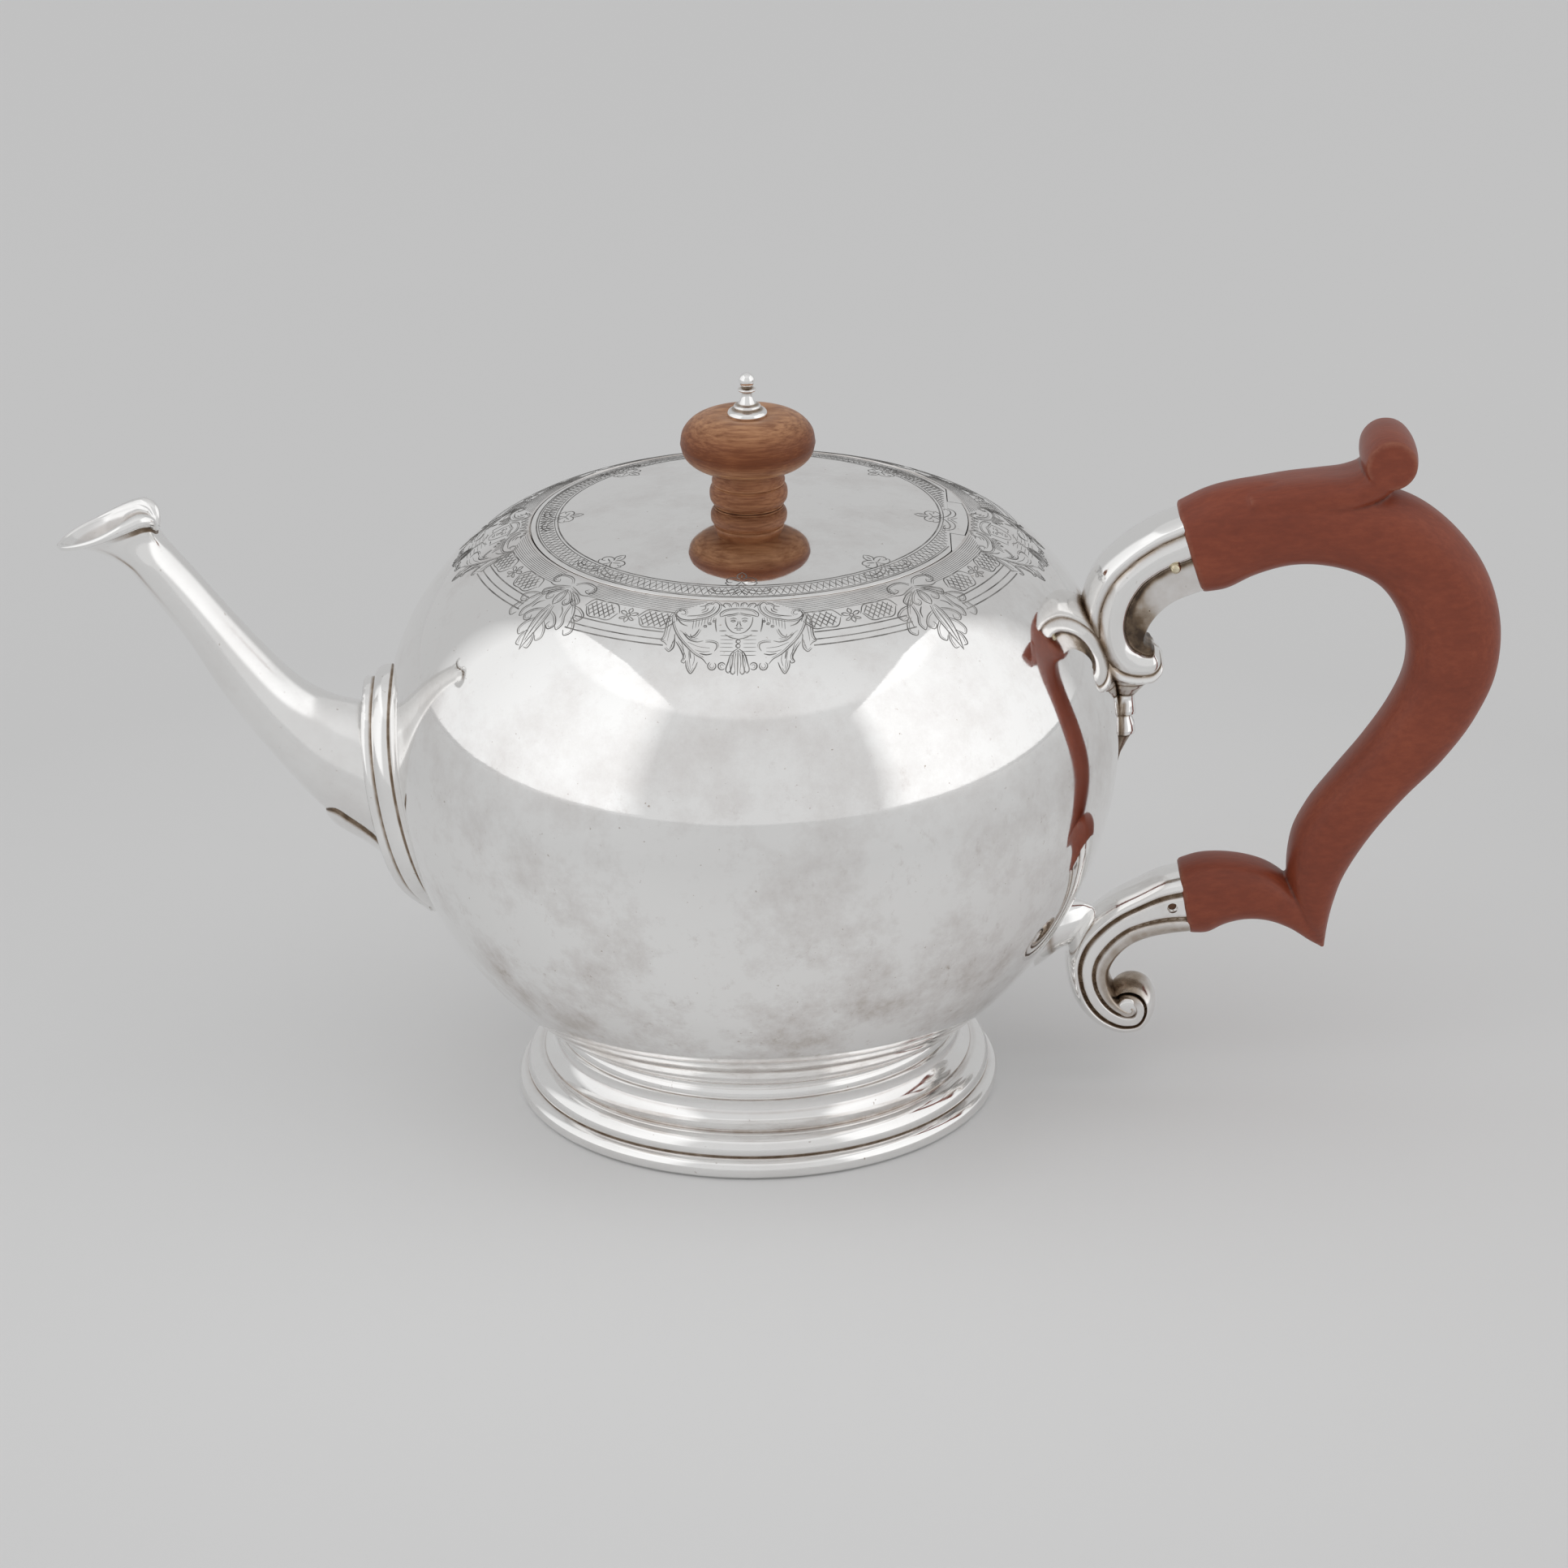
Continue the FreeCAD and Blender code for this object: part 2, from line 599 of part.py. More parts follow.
def make_washer_and_nut():
    top = f"({dome_height('washer_radius', 'lid_sheet')})"
    node(revolved("washer_form", (BOLT_HOLE, f"{top} - washer_thickness"), [
        ("washer_radius", f"{top} - washer_thickness"),
        ("washer_radius", top),
        (BOLT_HOLE, top),
        (BOLT_HOLE, f"{top} - washer_thickness"),
    ]), "knop_washer")
    square = doc.addObject("Part::Prism", "nut_blank")
    square.Polygon = 4
    bind(square, "Circumradius", "nut_radius")
    bind(square, "Height", "nut_thickness")
    bind(square, "Placement.Base.z", f"{top} - washer_thickness - nut_thickness")
    hole = doc.addObject("Part::Cylinder", "nut_hole")
    bind(hole, "Radius", "bolt_radius")
    bind(hole, "Height", "nut_thickness + 2 * cut_overrun")
    bind(hole, "Placement.Base.z", f"{top} - washer_thickness - nut_thickness - cut_overrun")
    node(cut("nut_bored", square, hole), "knop_nut")


def plane_point(place, side):
    """A point of the spout and handle plane from (out, up) off the belly's widest point."""
    return Vector(side * (size_of("belly_radius") + place[0]), 0, size_of(BELLY_HEIGHT) + place[1])


def section(station, side, inset=0.0, shift=None):
    """A closed oval wire between the two ends of a station."""
    ends = [plane_point(place, side) for place in station[:2]]
    centre = (ends[0] + ends[1]) * 0.5 + (shift or Vector())
    arm = ends[0] - ends[1]
    half = arm.Length / 2 - inset
    arm.normalize()
    points = []
    for step in range(SECTION_POINTS):
        turn = 2 * math.pi * step / SECTION_POINTS
        across = Vector(0, (station[2] - inset) * math.sin(turn), 0)
        points.append(centre + arm * half * math.cos(turn) + across)
    curve = Part.BSplineCurve()
    curve.interpolate(points, PeriodicFlag=True)
    return Part.Wire(curve.toShape())


def loft_wires(wires):
    """A solid through many sections, made in short even runs that share their end sections."""
    last = len(wires) - 1
    spans = math.ceil(last / math.ceil(last / RUN_SPANS))
    runs = [Part.makeLoft(wires[n:n + spans + 1], True, False) for n in range(0, last, spans)]
    return runs[0].fuse(runs[1:]) if len(runs) > 1 else runs[0]


def loft(stations, side, inset=0.0):
    return loft_wires([section(s, side, inset) for s in stations])


def joint_frame(station):
    """The middle of a joint between wood and socket, and the way out of the socket."""
    ends = [plane_point(place, 1) for place in station[:2]]
    across = (ends[0] - ends[1]).normalize()
    return (ends[0] + ends[1]) * 0.5, Vector(across.z, 0, -across.x)


def y_cylinder(centre, radius, half):
    return Part.makeCylinder(radius, 2 * half, centre - Vector(0, half, 0), Vector(0, 1, 0))


def rounded_cylinder(centre, radius, half):
    """A cylinder along Y with softened rims."""
    plain = y_cylinder(centre, radius, half)
    rims = [edge for edge in plain.Edges if edge.isClosed() and edge.Length > radius]
    return plain.makeFillet(radius * RIM_ROUNDING, rims)


def tenon(station, clearance=0.0):
    """The round tenon of a joint, or the mortise for it, reaching into the socket."""
    middle, out = joint_frame(station)
    start = middle - out * (size_of("tenon_length") + clearance)
    length = size_of("tenon_length + tenon_root") + clearance
    return Part.makeCylinder(size_of("tenon_radius") + clearance, length, start, out)


def pin_centre(station):
    middle, out = joint_frame(station)
    return middle - out * size_of("pin_setback")


def pin_hole(station):
    clearance = size_of("pin_radius + running_clearance")
    return y_cylinder(pin_centre(station), clearance, size_of("upper_pin_half + cut_overrun"))


def feature(name, shape):
    made = doc.addObject("Part::Feature", name)
    made.Shape = shape
    return made


def make_spout(bowl):
    """A tapering cast spout with a duck-bill lip, open from lip to body."""
    outside = loft(SPOUT_STATIONS, -1)
    thin = size_of("spout_wall")
    bore = [section(s, -1, thin) for s in SPOUT_STATIONS]
    bore.append(section(SPOUT_STATIONS[-1], -1, thin, Vector(0, 0, LIP_OVERRUN)))
    inside = loft_wires(bore[:-2] + bore[-1:])
    node(feature("spout_form", outside.cut(inside).cut(bowl)), "spout")
    return outside


def reed(step):
    """An oval prism along -X that bounds one reed of the moulding."""
    centre = Vector(0, 0, size_of(f"{BELLY_HEIGHT} - reed_drop"))
    tall = centre + Vector(0, 0, size_of("reed_height") - step)
    wide = centre + Vector(0, size_of("reed_width") - step, 0)
    oval = Part.Wire(Part.Ellipse(tall, wide, centre).toShape())
    return Part.Face(oval).extrude(Vector(-2 * size_of("belly_radius"), 0, 0))


def make_spout_moulding(bowl, spout_outside, low, high):
    """Two reeds round the root of the spout, the inner one standing higher."""
    lower = reed(0.0).common(low)
    upper = reed(size_of("reed_step")).common(high)
    ring = lower.fuse(upper).cut(bowl).cut(spout_outside)
    node(feature("moulding_form", ring.removeSplitter()), "spout_moulding")


def make_handle():
    """A wooden scroll handle with a thumb roll, a lower arm and two round tenons."""
    thumb = rounded_cylinder(plane_point(THUMB_CENTRE, 1), size_of("thumb_radius"), size_of("thumb_half"))
    wood = loft(HANDLE_STATIONS, 1).fuse([loft(LOWER_ARM_STATIONS, 1), thumb])
    wood = wood.fuse([tenon(UPPER_JOINT), tenon(LOWER_JOINT)])
    wood = wood.cut([pin_hole(UPPER_JOINT), pin_hole(LOWER_JOINT)])
    node(feature("handle_form", wood.removeSplitter()), "handle")


def socket(joint, stations, extras, bowl):
    """A cast scroll socket soldered to the body, with a mortise for the handle."""
    slack = size_of("tenon_clearance")
    inset = size_of("socket_inset")
    path = [section(joint, 1, inset)] + [section(s, 1) for s in stations]
    cast = loft_wires(path).fuse(extras)
    return cast.cut([bowl, tenon(joint, slack), pin_hole(joint)]).removeSplitter()


def make_sockets(bowl):
    centre, radius, half = UPPER_CURL
    curl = rounded_cylinder(plane_point(centre, 1), radius, half)
    upper = socket(UPPER_JOINT, UPPER_SOCKET_STATIONS, [curl], bowl)
    node(feature("upper_socket_form", upper), "upper_socket")
    centre, radius, half = LOWER_VOLUTE
    volute = rounded_cylinder(plane_point(centre, 1), radius, half)
    lower = socket(LOWER_JOINT, LOWER_SOCKET_STATIONS, [volute, loft(LOWER_NECK_STATIONS, 1)], bowl)
    node(feature("lower_socket_form", lower), "lower_socket")


def make_handle_pins():
    for name, joint in (("upper_pin", UPPER_JOINT), ("lower_pin", LOWER_JOINT)):
        centre = pin_centre(joint)
        pin = rounded_cylinder(centre, size_of("pin_radius"), size_of(f"{name}_half"))
        node(feature(f"{name}_form", pin), name)


def make_socket_drop(bowl_body):
    """A bellflower drop on the body, cup upwards, below the upper socket."""
    tip = "(drop_top_height - drop_length)"
    lip = "(drop_top_height - drop_cup_height)"
    form = revolved("drop_form", ("0", tip), [
        ("drop_tip_radius", tip),
        ("drop_throat_radius", "0", "drop_curve", 1),
        ("drop_cup_radius", lip, "drop_curve", -1),
        ("drop_throat_radius", "drop_top_height"),
        ("0", "drop_top_height"),
        ("0", tip),
    ])
    bind(form, "Placement.Base.x", "belly_radius - drop_sink")
    bind(form, "Placement.Base.z", BELLY_HEIGHT)
    node(cut("drop_cut", form, bowl_body), "upper_socket_drop")


def check():
    """Refuse to write anything if an object failed or a shape is unusable."""
    doc.recompute()
    failed = [o.Label for o in doc.Objects if {"Invalid", "Error"} & set(o.State)]
    shapes = {name: thing.Shape for name, thing in nodes.items()}
    bad = [n for n, s in shapes.items() if s.isNull() or not s.isValid() or len(s.Solids) != 1]
    if failed or bad:
        raise RuntimeError(f"failed objects {failed}, bad shapes {bad}")


def write():
    os.makedirs("parts", exist_ok=True)
    for name, thing in nodes.items():
        thing.Shape.exportStep(os.path.join("parts", f"{name}.step"))
        box = thing.Shape.BoundBox
        print(f"{name}: {len(thing.Shape.Solids)} solid, {thing.Shape.Volume:.1f} mm3,"
              f" x {box.XMin:.2f} to {box.XMax:.2f}, z {box.ZMin:.2f} to {box.ZMax:.2f}")


def main():
    fill_sheet()
    bowl_body = bowl_form("bowl_form")
    low = bowl_form("low_reed_form", "reed_low")
    high = bowl_form("high_reed_form", "reed_high")
    make_body_shell()
    make_foot_ring()
    make_lid_seat()
    make_fixed_knuckles()
    make_lid_knuckle()
    make_hinge_pin()
    make_lid_plate()
    make_lid_bezel()
    make_knop()
    make_finial()
    make_washer_and_nut()
    make_socket_drop(bowl_body)
    doc.recompute()
    bowl = bowl_body.Shape
    spout_outside = make_spout(bowl)
    make_spout_moulding(bowl, spout_outside, low.Shape, high.Shape)
    make_handle()
    make_sockets(bowl)
    make_handle_pins()
    check()
    write()


main()
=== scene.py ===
import math

import bmesh
import bpy
import numpy as np
from mathutils import Matrix, Vector
from mathutils.kdtree import KDTree


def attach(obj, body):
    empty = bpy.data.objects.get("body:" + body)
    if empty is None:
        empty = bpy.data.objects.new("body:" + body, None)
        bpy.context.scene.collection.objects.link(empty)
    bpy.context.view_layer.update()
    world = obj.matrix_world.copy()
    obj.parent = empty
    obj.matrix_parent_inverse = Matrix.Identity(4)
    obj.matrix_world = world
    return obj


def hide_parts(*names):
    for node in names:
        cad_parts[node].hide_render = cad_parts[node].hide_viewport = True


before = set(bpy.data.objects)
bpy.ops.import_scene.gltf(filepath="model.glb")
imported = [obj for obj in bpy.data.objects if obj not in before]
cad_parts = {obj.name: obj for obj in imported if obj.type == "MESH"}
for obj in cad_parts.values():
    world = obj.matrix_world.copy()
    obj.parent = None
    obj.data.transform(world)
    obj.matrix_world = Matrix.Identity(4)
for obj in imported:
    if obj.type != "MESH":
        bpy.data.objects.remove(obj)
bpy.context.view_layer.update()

# A polished silver teapot with a wooden handle and knop. Sizes are in millimetres in the part's own
# frame, with the spout towards -X, the handle towards +X and the front of the pot towards -Y.
MM = 0.001
# Faces round a turned piece
ROUND = 256
# Edges that bend more than these angles, in degrees, stay crisp
SHEET_EDGE = 38.0
TURNED_EDGE = 50.0
REED_EDGE = 55.0
CAST_EDGE = 60.0
NO_EDGE = 180.0

# Outline of the body: three arcs from the base to the rim
BELLY_HEIGHT = 61.2
BASE_RADIUS = 14.0
BOWL_X = -0.9
BOWL_ARC = 58.5
UPPER_X = 20.5
UPPER_ARC = 37.1
SHOULDER_ARC = 27.4
SHOULDER_TURN = math.radians(46.8)
SHOULDER_X = UPPER_X + (UPPER_ARC - SHOULDER_ARC) * math.cos(SHOULDER_TURN)
SHOULDER_Z = BELLY_HEIGHT + (UPPER_ARC - SHOULDER_ARC) * math.sin(SHOULDER_TURN)
OPENING = 34.0
RIM_TURN = math.acos((OPENING - SHOULDER_X) / SHOULDER_ARC)
RIM_HEIGHT = SHOULDER_Z + SHOULDER_ARC * math.sin(RIM_TURN)
SHOULDER_RUN = SHOULDER_ARC * (RIM_TURN - SHOULDER_TURN)
WALL = 1.2
FOOT_JOINT = (31.2, 12.9)

# Lid
LID_RISE = 3.2
LID_APEX = RIM_HEIGHT + LID_RISE
DOME_ARC = (OPENING ** 2 + LID_RISE ** 2) / (2 * LID_RISE)
LID_RADIUS = 33.82
LID_CHORD = 30.9
LID_SHEET = 1.0
LID_UNDER = 93.866
BOLT_HOLE = 1.1
LID_LEDGE = 29.6
RIB_INNER = 6.5
RIB_OUTER = 7.7
RIB_DEPTH = 1.6
KNOP_HEIGHT = 14.42
BOLT_END = 93.8

# Flush hinge on the handle side
HINGE_X = 32.0
HINGE_Z = 94.318
KNUCKLE = 0.85
FIXED_LEAF_X = 31.02
LEAF_HALF = 7.08
LEAF_GAP = 0.12
LEAF_RADIUS = 33.88
LEAF_LAP = 0.05
FIXED_LEAF_DROP = 0.8
LID_LEAF_LAP = 0.02

# The engraved ornament repeats every eighth of a turn, from a little left of the front
ORNAMENT_TURN = math.radians(45.0)
FRONT_TURN = math.radians(-2.3)
LINE_WIDTH = 0.21
RULE_WIDTH = 0.2
MASK_WIDTH = 0.17
DASH_WIDTH = 0.13
HATCH_WIDTH = 0.10
SHADE_WIDTH = 0.10
CUT_EDGE = 0.006
CUT_CREST = 0.035
LID_BORDER = 29.5

SIDEWAYS = np.array([0.0, 1.0, 0.0])


def full_turn(count):
    """Evenly spaced angles round a whole turn."""
    return np.linspace(0, 2 * math.pi, count, endpoint=False)


def unit(vectors):
    """Rows of vectors brought to a length of 1."""
    return vectors / np.maximum(np.linalg.norm(vectors, axis=1), 1e-9)[:, None]


def signed_power(values, power):
    """A power of each value's size that keeps its sign."""
    return np.sign(values) * np.abs(values) ** power


class Skin:
    """The points and faces of one piece, in millimetres, with a value for each point of tarnish, wear,
    painted light and painted shade.
    """

    def __init__(self):
        self.points = []
        self.faces = []
        self.tarnish_wear_and_shade = []

    def grid(self, rows, closed=False, tarnish_wear_and_shade=0.0):
        """Quads through rows of points. A closed grid joins the end of each row to its start."""
        rows = np.asarray(rows, float)
        count, width = rows.shape[:2]
        first = len(self.points)
        self.points.extend(rows.reshape(-1, 3).tolist())
        self.tarnish_wear_and_shade.extend(np.broadcast_to(tarnish_wear_and_shade, (count, width)).ravel().tolist())
        for row in range(count - 1):
            for column in range(width if closed else width - 1):
                after = (column + 1) % width
                low = first + row * width
                high = low + width
                self.faces.append((low + column, low + after, high + after, high + column))

    def lathe(self, outline, tarnish_wear_and_shade, segments=ROUND):
        """A surface turned round the Z axis from (radius, height) points."""
        outline = np.asarray(outline, float)
        turn = full_turn(segments)
        rows = np.empty((len(outline), segments, 3))
        rows[..., 0] = outline[:, :1] * np.cos(turn)
        rows[..., 1] = outline[:, :1] * np.sin(turn)
        rows[..., 2] = outline[:, 1:]
        marks = np.broadcast_to(tarnish_wear_and_shade, len(outline))[:, None]
        self.grid(rows, closed=True, tarnish_wear_and_shade=marks)

    def bar(self, rows, tarnish_wear_and_shade=0.0):
        """A closed grid with a flat face over each end."""
        self.grid(rows, closed=True, tarnish_wear_and_shade=tarnish_wear_and_shade)
        for ring in (rows[0], rows[-1]):
            first = len(self.points)
            self.points.extend(np.asarray(ring, float).tolist())
            self.tarnish_wear_and_shade.extend([0.0] * len(ring))
            self.faces.append(tuple(range(first, first + len(ring))))


def mesh_of(name, skin):
    """A mesh in metres with coincident points joined and its faces turned outwards."""
    mesh = bpy.data.meshes.new(name)
    points = np.asarray(skin.points) * MM
    mesh.from_pydata(points.tolist(), [], skin.faces)
    mark = mesh.attributes.new("tarnish_wear_and_shade", "FLOAT", "POINT")
    mark.data.foreach_set("value", np.asarray(skin.tarnish_wear_and_shade, np.float32))
    work = bmesh.new()
    work.from_mesh(mesh)
    bmesh.ops.remove_doubles(work, verts=work.verts, dist=2e-6)
    bmesh.ops.dissolve_degenerate(work, edges=work.edges, dist=1e-7)
    bmesh.ops.recalc_face_normals(work, faces=work.faces)
    work.to_mesh(mesh)
    work.free()
    return mesh


def dress(mesh, material, sharp):
    """Smooth shading that keeps edges sharper than an angle, and one material."""
    mesh.shade_smooth()
    mesh.set_sharp_from_angle(angle=math.radians(sharp))
    mesh.materials.clear()
    mesh.materials.append(material)


def piece(name, mesh, body, slot, *nodes):
    """Adds a mesh to the scene, riding on a body and standing for the CAD nodes named."""
    made = bpy.data.objects.new(name, mesh)
    bpy.context.scene.collection.objects.link(made)
    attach(made, body)
    if nodes:
        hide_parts(*nodes)


def skin_piece(name, skin, material, sharp, body, slot, *nodes):
    """Makes a skin into a dressed piece."""
    mesh = mesh_of(name, skin)
    dress(mesh, material, sharp)
    piece(name, mesh, body, slot, *nodes)


def eased(share, start, start_way, end, end_way):
    """Points a share of the way from start to end, which leave and arrive along given directions."""
    rest = 1 - share
    leaving = (1 + 2 * share) * rest ** 2 * start + share * rest ** 2 * start_way
    arriving = share * share * (3 - 2 * share) * end - share * share * rest * end_way
    return leaving + arriving


def smooth_line(points, count):
    """A smooth curve through all the points, sampled evenly."""
    points = np.asarray(points, float)
    steps = np.linalg.norm(np.diff(points, axis=0), axis=1)
    along = np.concatenate([[0.0], np.cumsum(steps)])
    if len(points) == 2:
        slope = np.repeat((points[1:] - points[:1]) / along[-1], 2, axis=0)
    else:
        slope = np.gradient(points, along, axis=0)
    at = np.linspace(0, along[-1], count)
    before = np.clip(np.searchsorted(along, at, side="right") - 1, 0, len(along) - 2)
    after = before + 1
    span = (along[after] - along[before])[:, None]
    share = (at - along[before])[:, None] / span
    return eased(share, points[before], span * slope[before], points[after], span * slope[after])


def arc(centre, radius, start, end, count):
    """Points of an arc in a plane, between two angles in radians."""
    turn = np.linspace(start, end, count)
    return np.column_stack([centre[0] + radius * np.cos(turn), centre[1] + radius * np.sin(turn)])


def arc_to(start, end, hollow, count):
    """Points of an arc from start to end that stands to the right of the chord by its hollow."""
    start = np.asarray(start, float)
    end = np.asarray(end, float)
    chord = end - start
    side = np.array([chord[1], -chord[0]])
    share = np.linspace(0, 1, count)[:, None]
    length = np.hypot(*chord)
    radius = (length ** 2 / 4 + hollow ** 2) / (2 * abs(hollow))
    rise = np.sqrt(radius ** 2 - ((share - 0.5) * length) ** 2) - (radius - abs(hollow))
    return start + chord * share + side / length * math.copysign(1, hollow) * rise


def turned_across(outline, centre, count):
    """Rings of a form turned about an axis along Y, from (radius, across) points."""
    turn = full_turn(count)
    rings = []
    for radius, across in outline:
        x = centre[0] + radius * np.cos(turn)
        z = centre[1] + radius * np.sin(turn)
        rings.append(np.column_stack([x, np.full(count, across), z]))
    return rings


def ramp(value, start, reach):
    """Rises from 0 at the start to 1 after the reach, which is negative for a fall."""
    return np.clip((value - start) / reach, 0, 1)


def bump_at(value, middle, width):
    """A rounded peak of height 1 at the middle, fading over the width."""
    return np.exp(-((np.asarray(value) - middle) / width) ** 2)


def dome_height(radius):
    """The height of the lid's domed top at a radius."""
    return LID_APEX - DOME_ARC + np.sqrt(DOME_ARC ** 2 - np.asarray(radius, float) ** 2)


def body_outline(inset=0.0):
    """The body's (radius, height) outline from the middle of the base to the rim."""
    centre_turn = math.acos((BASE_RADIUS - BOWL_X) / (BOWL_ARC - inset))
    bowl = arc((BOWL_X, BELLY_HEIGHT), BOWL_ARC - inset, -centre_turn, 0, 110)
    upper = arc((UPPER_X, BELLY_HEIGHT), UPPER_ARC - inset, 0, SHOULDER_TURN, 30)
    top = math.acos((OPENING - SHOULDER_X) / (SHOULDER_ARC - inset))
    shoulder = arc((SHOULDER_X, SHOULDER_Z), SHOULDER_ARC - inset, SHOULDER_TURN, top, 24)
    middle = [(0.0, bowl[0, 1])]
    return np.vstack([middle, bowl, upper[1:], shoulder[1:]])


def body_radius(height):
    """The body's outer radius at a height."""
    outline = body_outline()
    return np.interp(height, outline[1:, 1], outline[1:, 0])


def add_node(tree, kind, inputs=None, **settings):
    """A shader node with its settings, its linked inputs and its fixed inputs."""
    made = tree.nodes.new(kind)
    for key, value in settings.items():
        setattr(made, key, value)
    set_inputs(tree, made, inputs or {})
    return made


def set_inputs(tree, node, inputs):
    """Links a node's inputs to other nodes, or sets them to fixed values."""
    for key, value in inputs.items():
        if isinstance(value, bpy.types.NodeSocket):
            tree.links.new(value, node.inputs[key])
        else:
            node.inputs[key].default_value = value


def new_material(name):
    """A material, its node tree and the place of each point on the object."""
    material = bpy.data.materials.new(name)
    material.use_nodes = True
    tree = material.node_tree
    place = add_node(tree, "ShaderNodeTexCoord").outputs["Object"]
    return material, tree, place


def set_surface(tree, inputs):
    """Links or sets the inputs of a material's surface shader."""
    set_inputs(tree, tree.nodes["Principled BSDF"], inputs)


def point_mark(tree):
    """The tarnish, wear, painted shade and painted light values that a piece's points carry."""
    return add_node(tree, "ShaderNodeAttribute", attribute_name="tarnish_wear_and_shade").outputs["Fac"]


def mixed(tree, amount, first, second):
    """One colour blended into another."""
    made = add_node(tree, "ShaderNodeMix", {0: amount, 6: first, 7: second}, data_type="RGBA")
    return made.outputs[2]


def noise(tree, place, scale, detail=3.0, roughness=0.55):
    """Cloudy values between 0 and 1, finer with a larger scale."""
    made = add_node(tree, "ShaderNodeTexNoise",
                    {"Vector": place, "Scale": scale, "Detail": detail, "Roughness": roughness})
    return made.outputs["Fac"]


def remap(tree, value, low, high, start=0.0, end=1.0):
    """Carries values from low to high over to values from start to end, and no further."""
    made = add_node(tree, "ShaderNodeMapRange",
                    {"Value": value, "From Min": low, "From Max": high,
                     "To Min": start, "To Max": end})
    return made.outputs["Result"]


def math_of(tree, operation, first, second, clamp=False):
    """One step of arithmetic, kept between 0 and 1 if clamped."""
    made = add_node(tree, "ShaderNodeMath", {0: first, 1: second}, operation=operation, use_clamp=clamp)
    return made.outputs["Value"]


def colours(tree, value, stops):
    """A colour ramp from (position, red, green, blue) stops."""
    made = add_node(tree, "ShaderNodeValToRGB", {"Fac": value})
    ramp = made.color_ramp
    while len(ramp.elements) < len(stops):
        ramp.elements.new(1.0)
    for element, stop in zip(ramp.elements, stops):
        element.position = stop[0]
        element.color = (*stop[1:], 1.0)
    return made.outputs["Color"]


def stretched(tree, place, scale):
    """Places scaled differently along each axis, for grain and streaks."""
    made = add_node(tree, "ShaderNodeMapping", {"Vector": place, "Scale": scale})
    return made.outputs["Vector"]


def bumped(tree, height, distance, strength=1.0, under=None):
    """Normals of fine relief, laid over other relief if there is any."""
    inputs = {"Height": height, "Distance": distance, "Strength": strength}
    if under is not None:
        inputs["Normal"] = under
    return add_node(tree, "ShaderNodeBump", inputs).outputs["Normal"]


# Tones of each material as (position, red, green, blue). Silver goes from clean to deep tarnish, and its
# dark end also paints shade into grooves and creases
SILVER_TONES = [
    (0.0, 0.955, 0.953, 0.945), (0.18, 0.80, 0.775, 0.76), (0.5, 0.42, 0.35, 0.285),
    (0.75, 0.20, 0.145, 0.10), (1.0, 0.075, 0.055, 0.042),
]
CUT_TONES = [(0.35, 0.15, 0.143, 0.138), (0.7, 0.44, 0.43, 0.415)]
PIN_TONES = [(0.0, 0.13, 0.075, 0.05), (0.3, 0.55, 0.46, 0.30), (0.7, 0.86, 0.80, 0.62)]
HANDLE_TONES = [(0.32, 0.178, 0.037, 0.018), (0.50, 0.230, 0.049, 0.023), (0.68, 0.300, 0.070, 0.032)]
KNOP_TONES = [(0.34, 0.116, 0.030, 0.009), (0.50, 0.186, 0.054, 0.018), (0.66, 0.330, 0.122, 0.048)]
FLOOR_TONES = [(0.0, 0.715, 0.715, 0.715), (1.0, 0.865, 0.865, 0.865)]
# Painted shade laid into the wood's creases
PAINTED_CREASE_SHADE = (0.045, 0.016, 0.012, 1.0)


def make_silver(name, clouds, waves, shine, dull, grime=0.0):
    """Polished silver with hand-beaten waves, fine scratches, pits, and brown tarnish and painted shade in
    the corners.
    """
    material, tree, place = new_material(name)
    height = add_node(tree, "ShaderNodeSeparateXYZ", {"Vector": place}).outputs["Z"]
    lower_half = remap(tree, height, 0.075, 0.032, 0.45, 1.0)
    patches = remap(tree, noise(tree, place, scale=52.0, detail=10.0, roughness=0.74), 0.46, 0.74)
    rubbed = stretched(tree, place, (330.0, 330.0, 230.0))
    scuffs = remap(tree, noise(tree, rubbed, scale=1.0, detail=8.0, roughness=0.75), 0.59, 0.82)
    stain = math_of(tree, "MULTIPLY", math_of(tree, "ADD", patches, scuffs), lower_half)
    stain = math_of(tree, "MULTIPLY", stain, clouds)
    haze = remap(tree, noise(tree, place, scale=15.0, detail=5.0), 0.35, 0.75, grime, grime + 0.06)
    pits = remap(tree, noise(tree, place, scale=1300.0, detail=2.0), 0.72, 0.80, 0.0, 0.4)
    broken = remap(tree, noise(tree, place, scale=520.0), 0.30, 0.62, 0.7, 1.0)
    # The points' marks: tarnish, and painted shade in the grooves and creases of cast pieces
    corner = math_of(tree, "MULTIPLY", point_mark(tree), broken)
    film = math_of(tree, "ADD", stain, haze)
    dirt_and_shade = math_of(tree, "ADD", film, math_of(tree, "ADD", pits, corner), clamp=True)
    streaks = noise(tree, stretched(tree, place, (700.0, 700.0, 4200.0)), scale=1.0, detail=2.0)
    polish = remap(tree, streaks, 0.3, 0.75, shine, dull)
    rough = math_of(tree, "ADD", polish, math_of(tree, "MULTIPLY", dirt_and_shade, 0.3), clamp=True)
    beaten = bumped(tree, noise(tree, place, scale=42.0, detail=2.0), waves)
    brushed = bumped(tree, streaks, distance=0.0000008, under=beaten)
    set_surface(tree, {"Base Color": colours(tree, dirt_and_shade, SILVER_TONES), "Roughness": rough,
                       "Normal": brushed, "Metallic": 1.0})
    return material


def make_engraved():
    """The darkened cut of the engraver's lines."""
    material, tree, place = new_material("engraved_lines")
    worn = noise(tree, place, scale=420.0)
    set_surface(tree, {"Base Color": colours(tree, worn, CUT_TONES),
                       "Roughness": remap(tree, worn, 0.3, 0.7, 0.5, 0.3), "Metallic": 1.0})
    return material


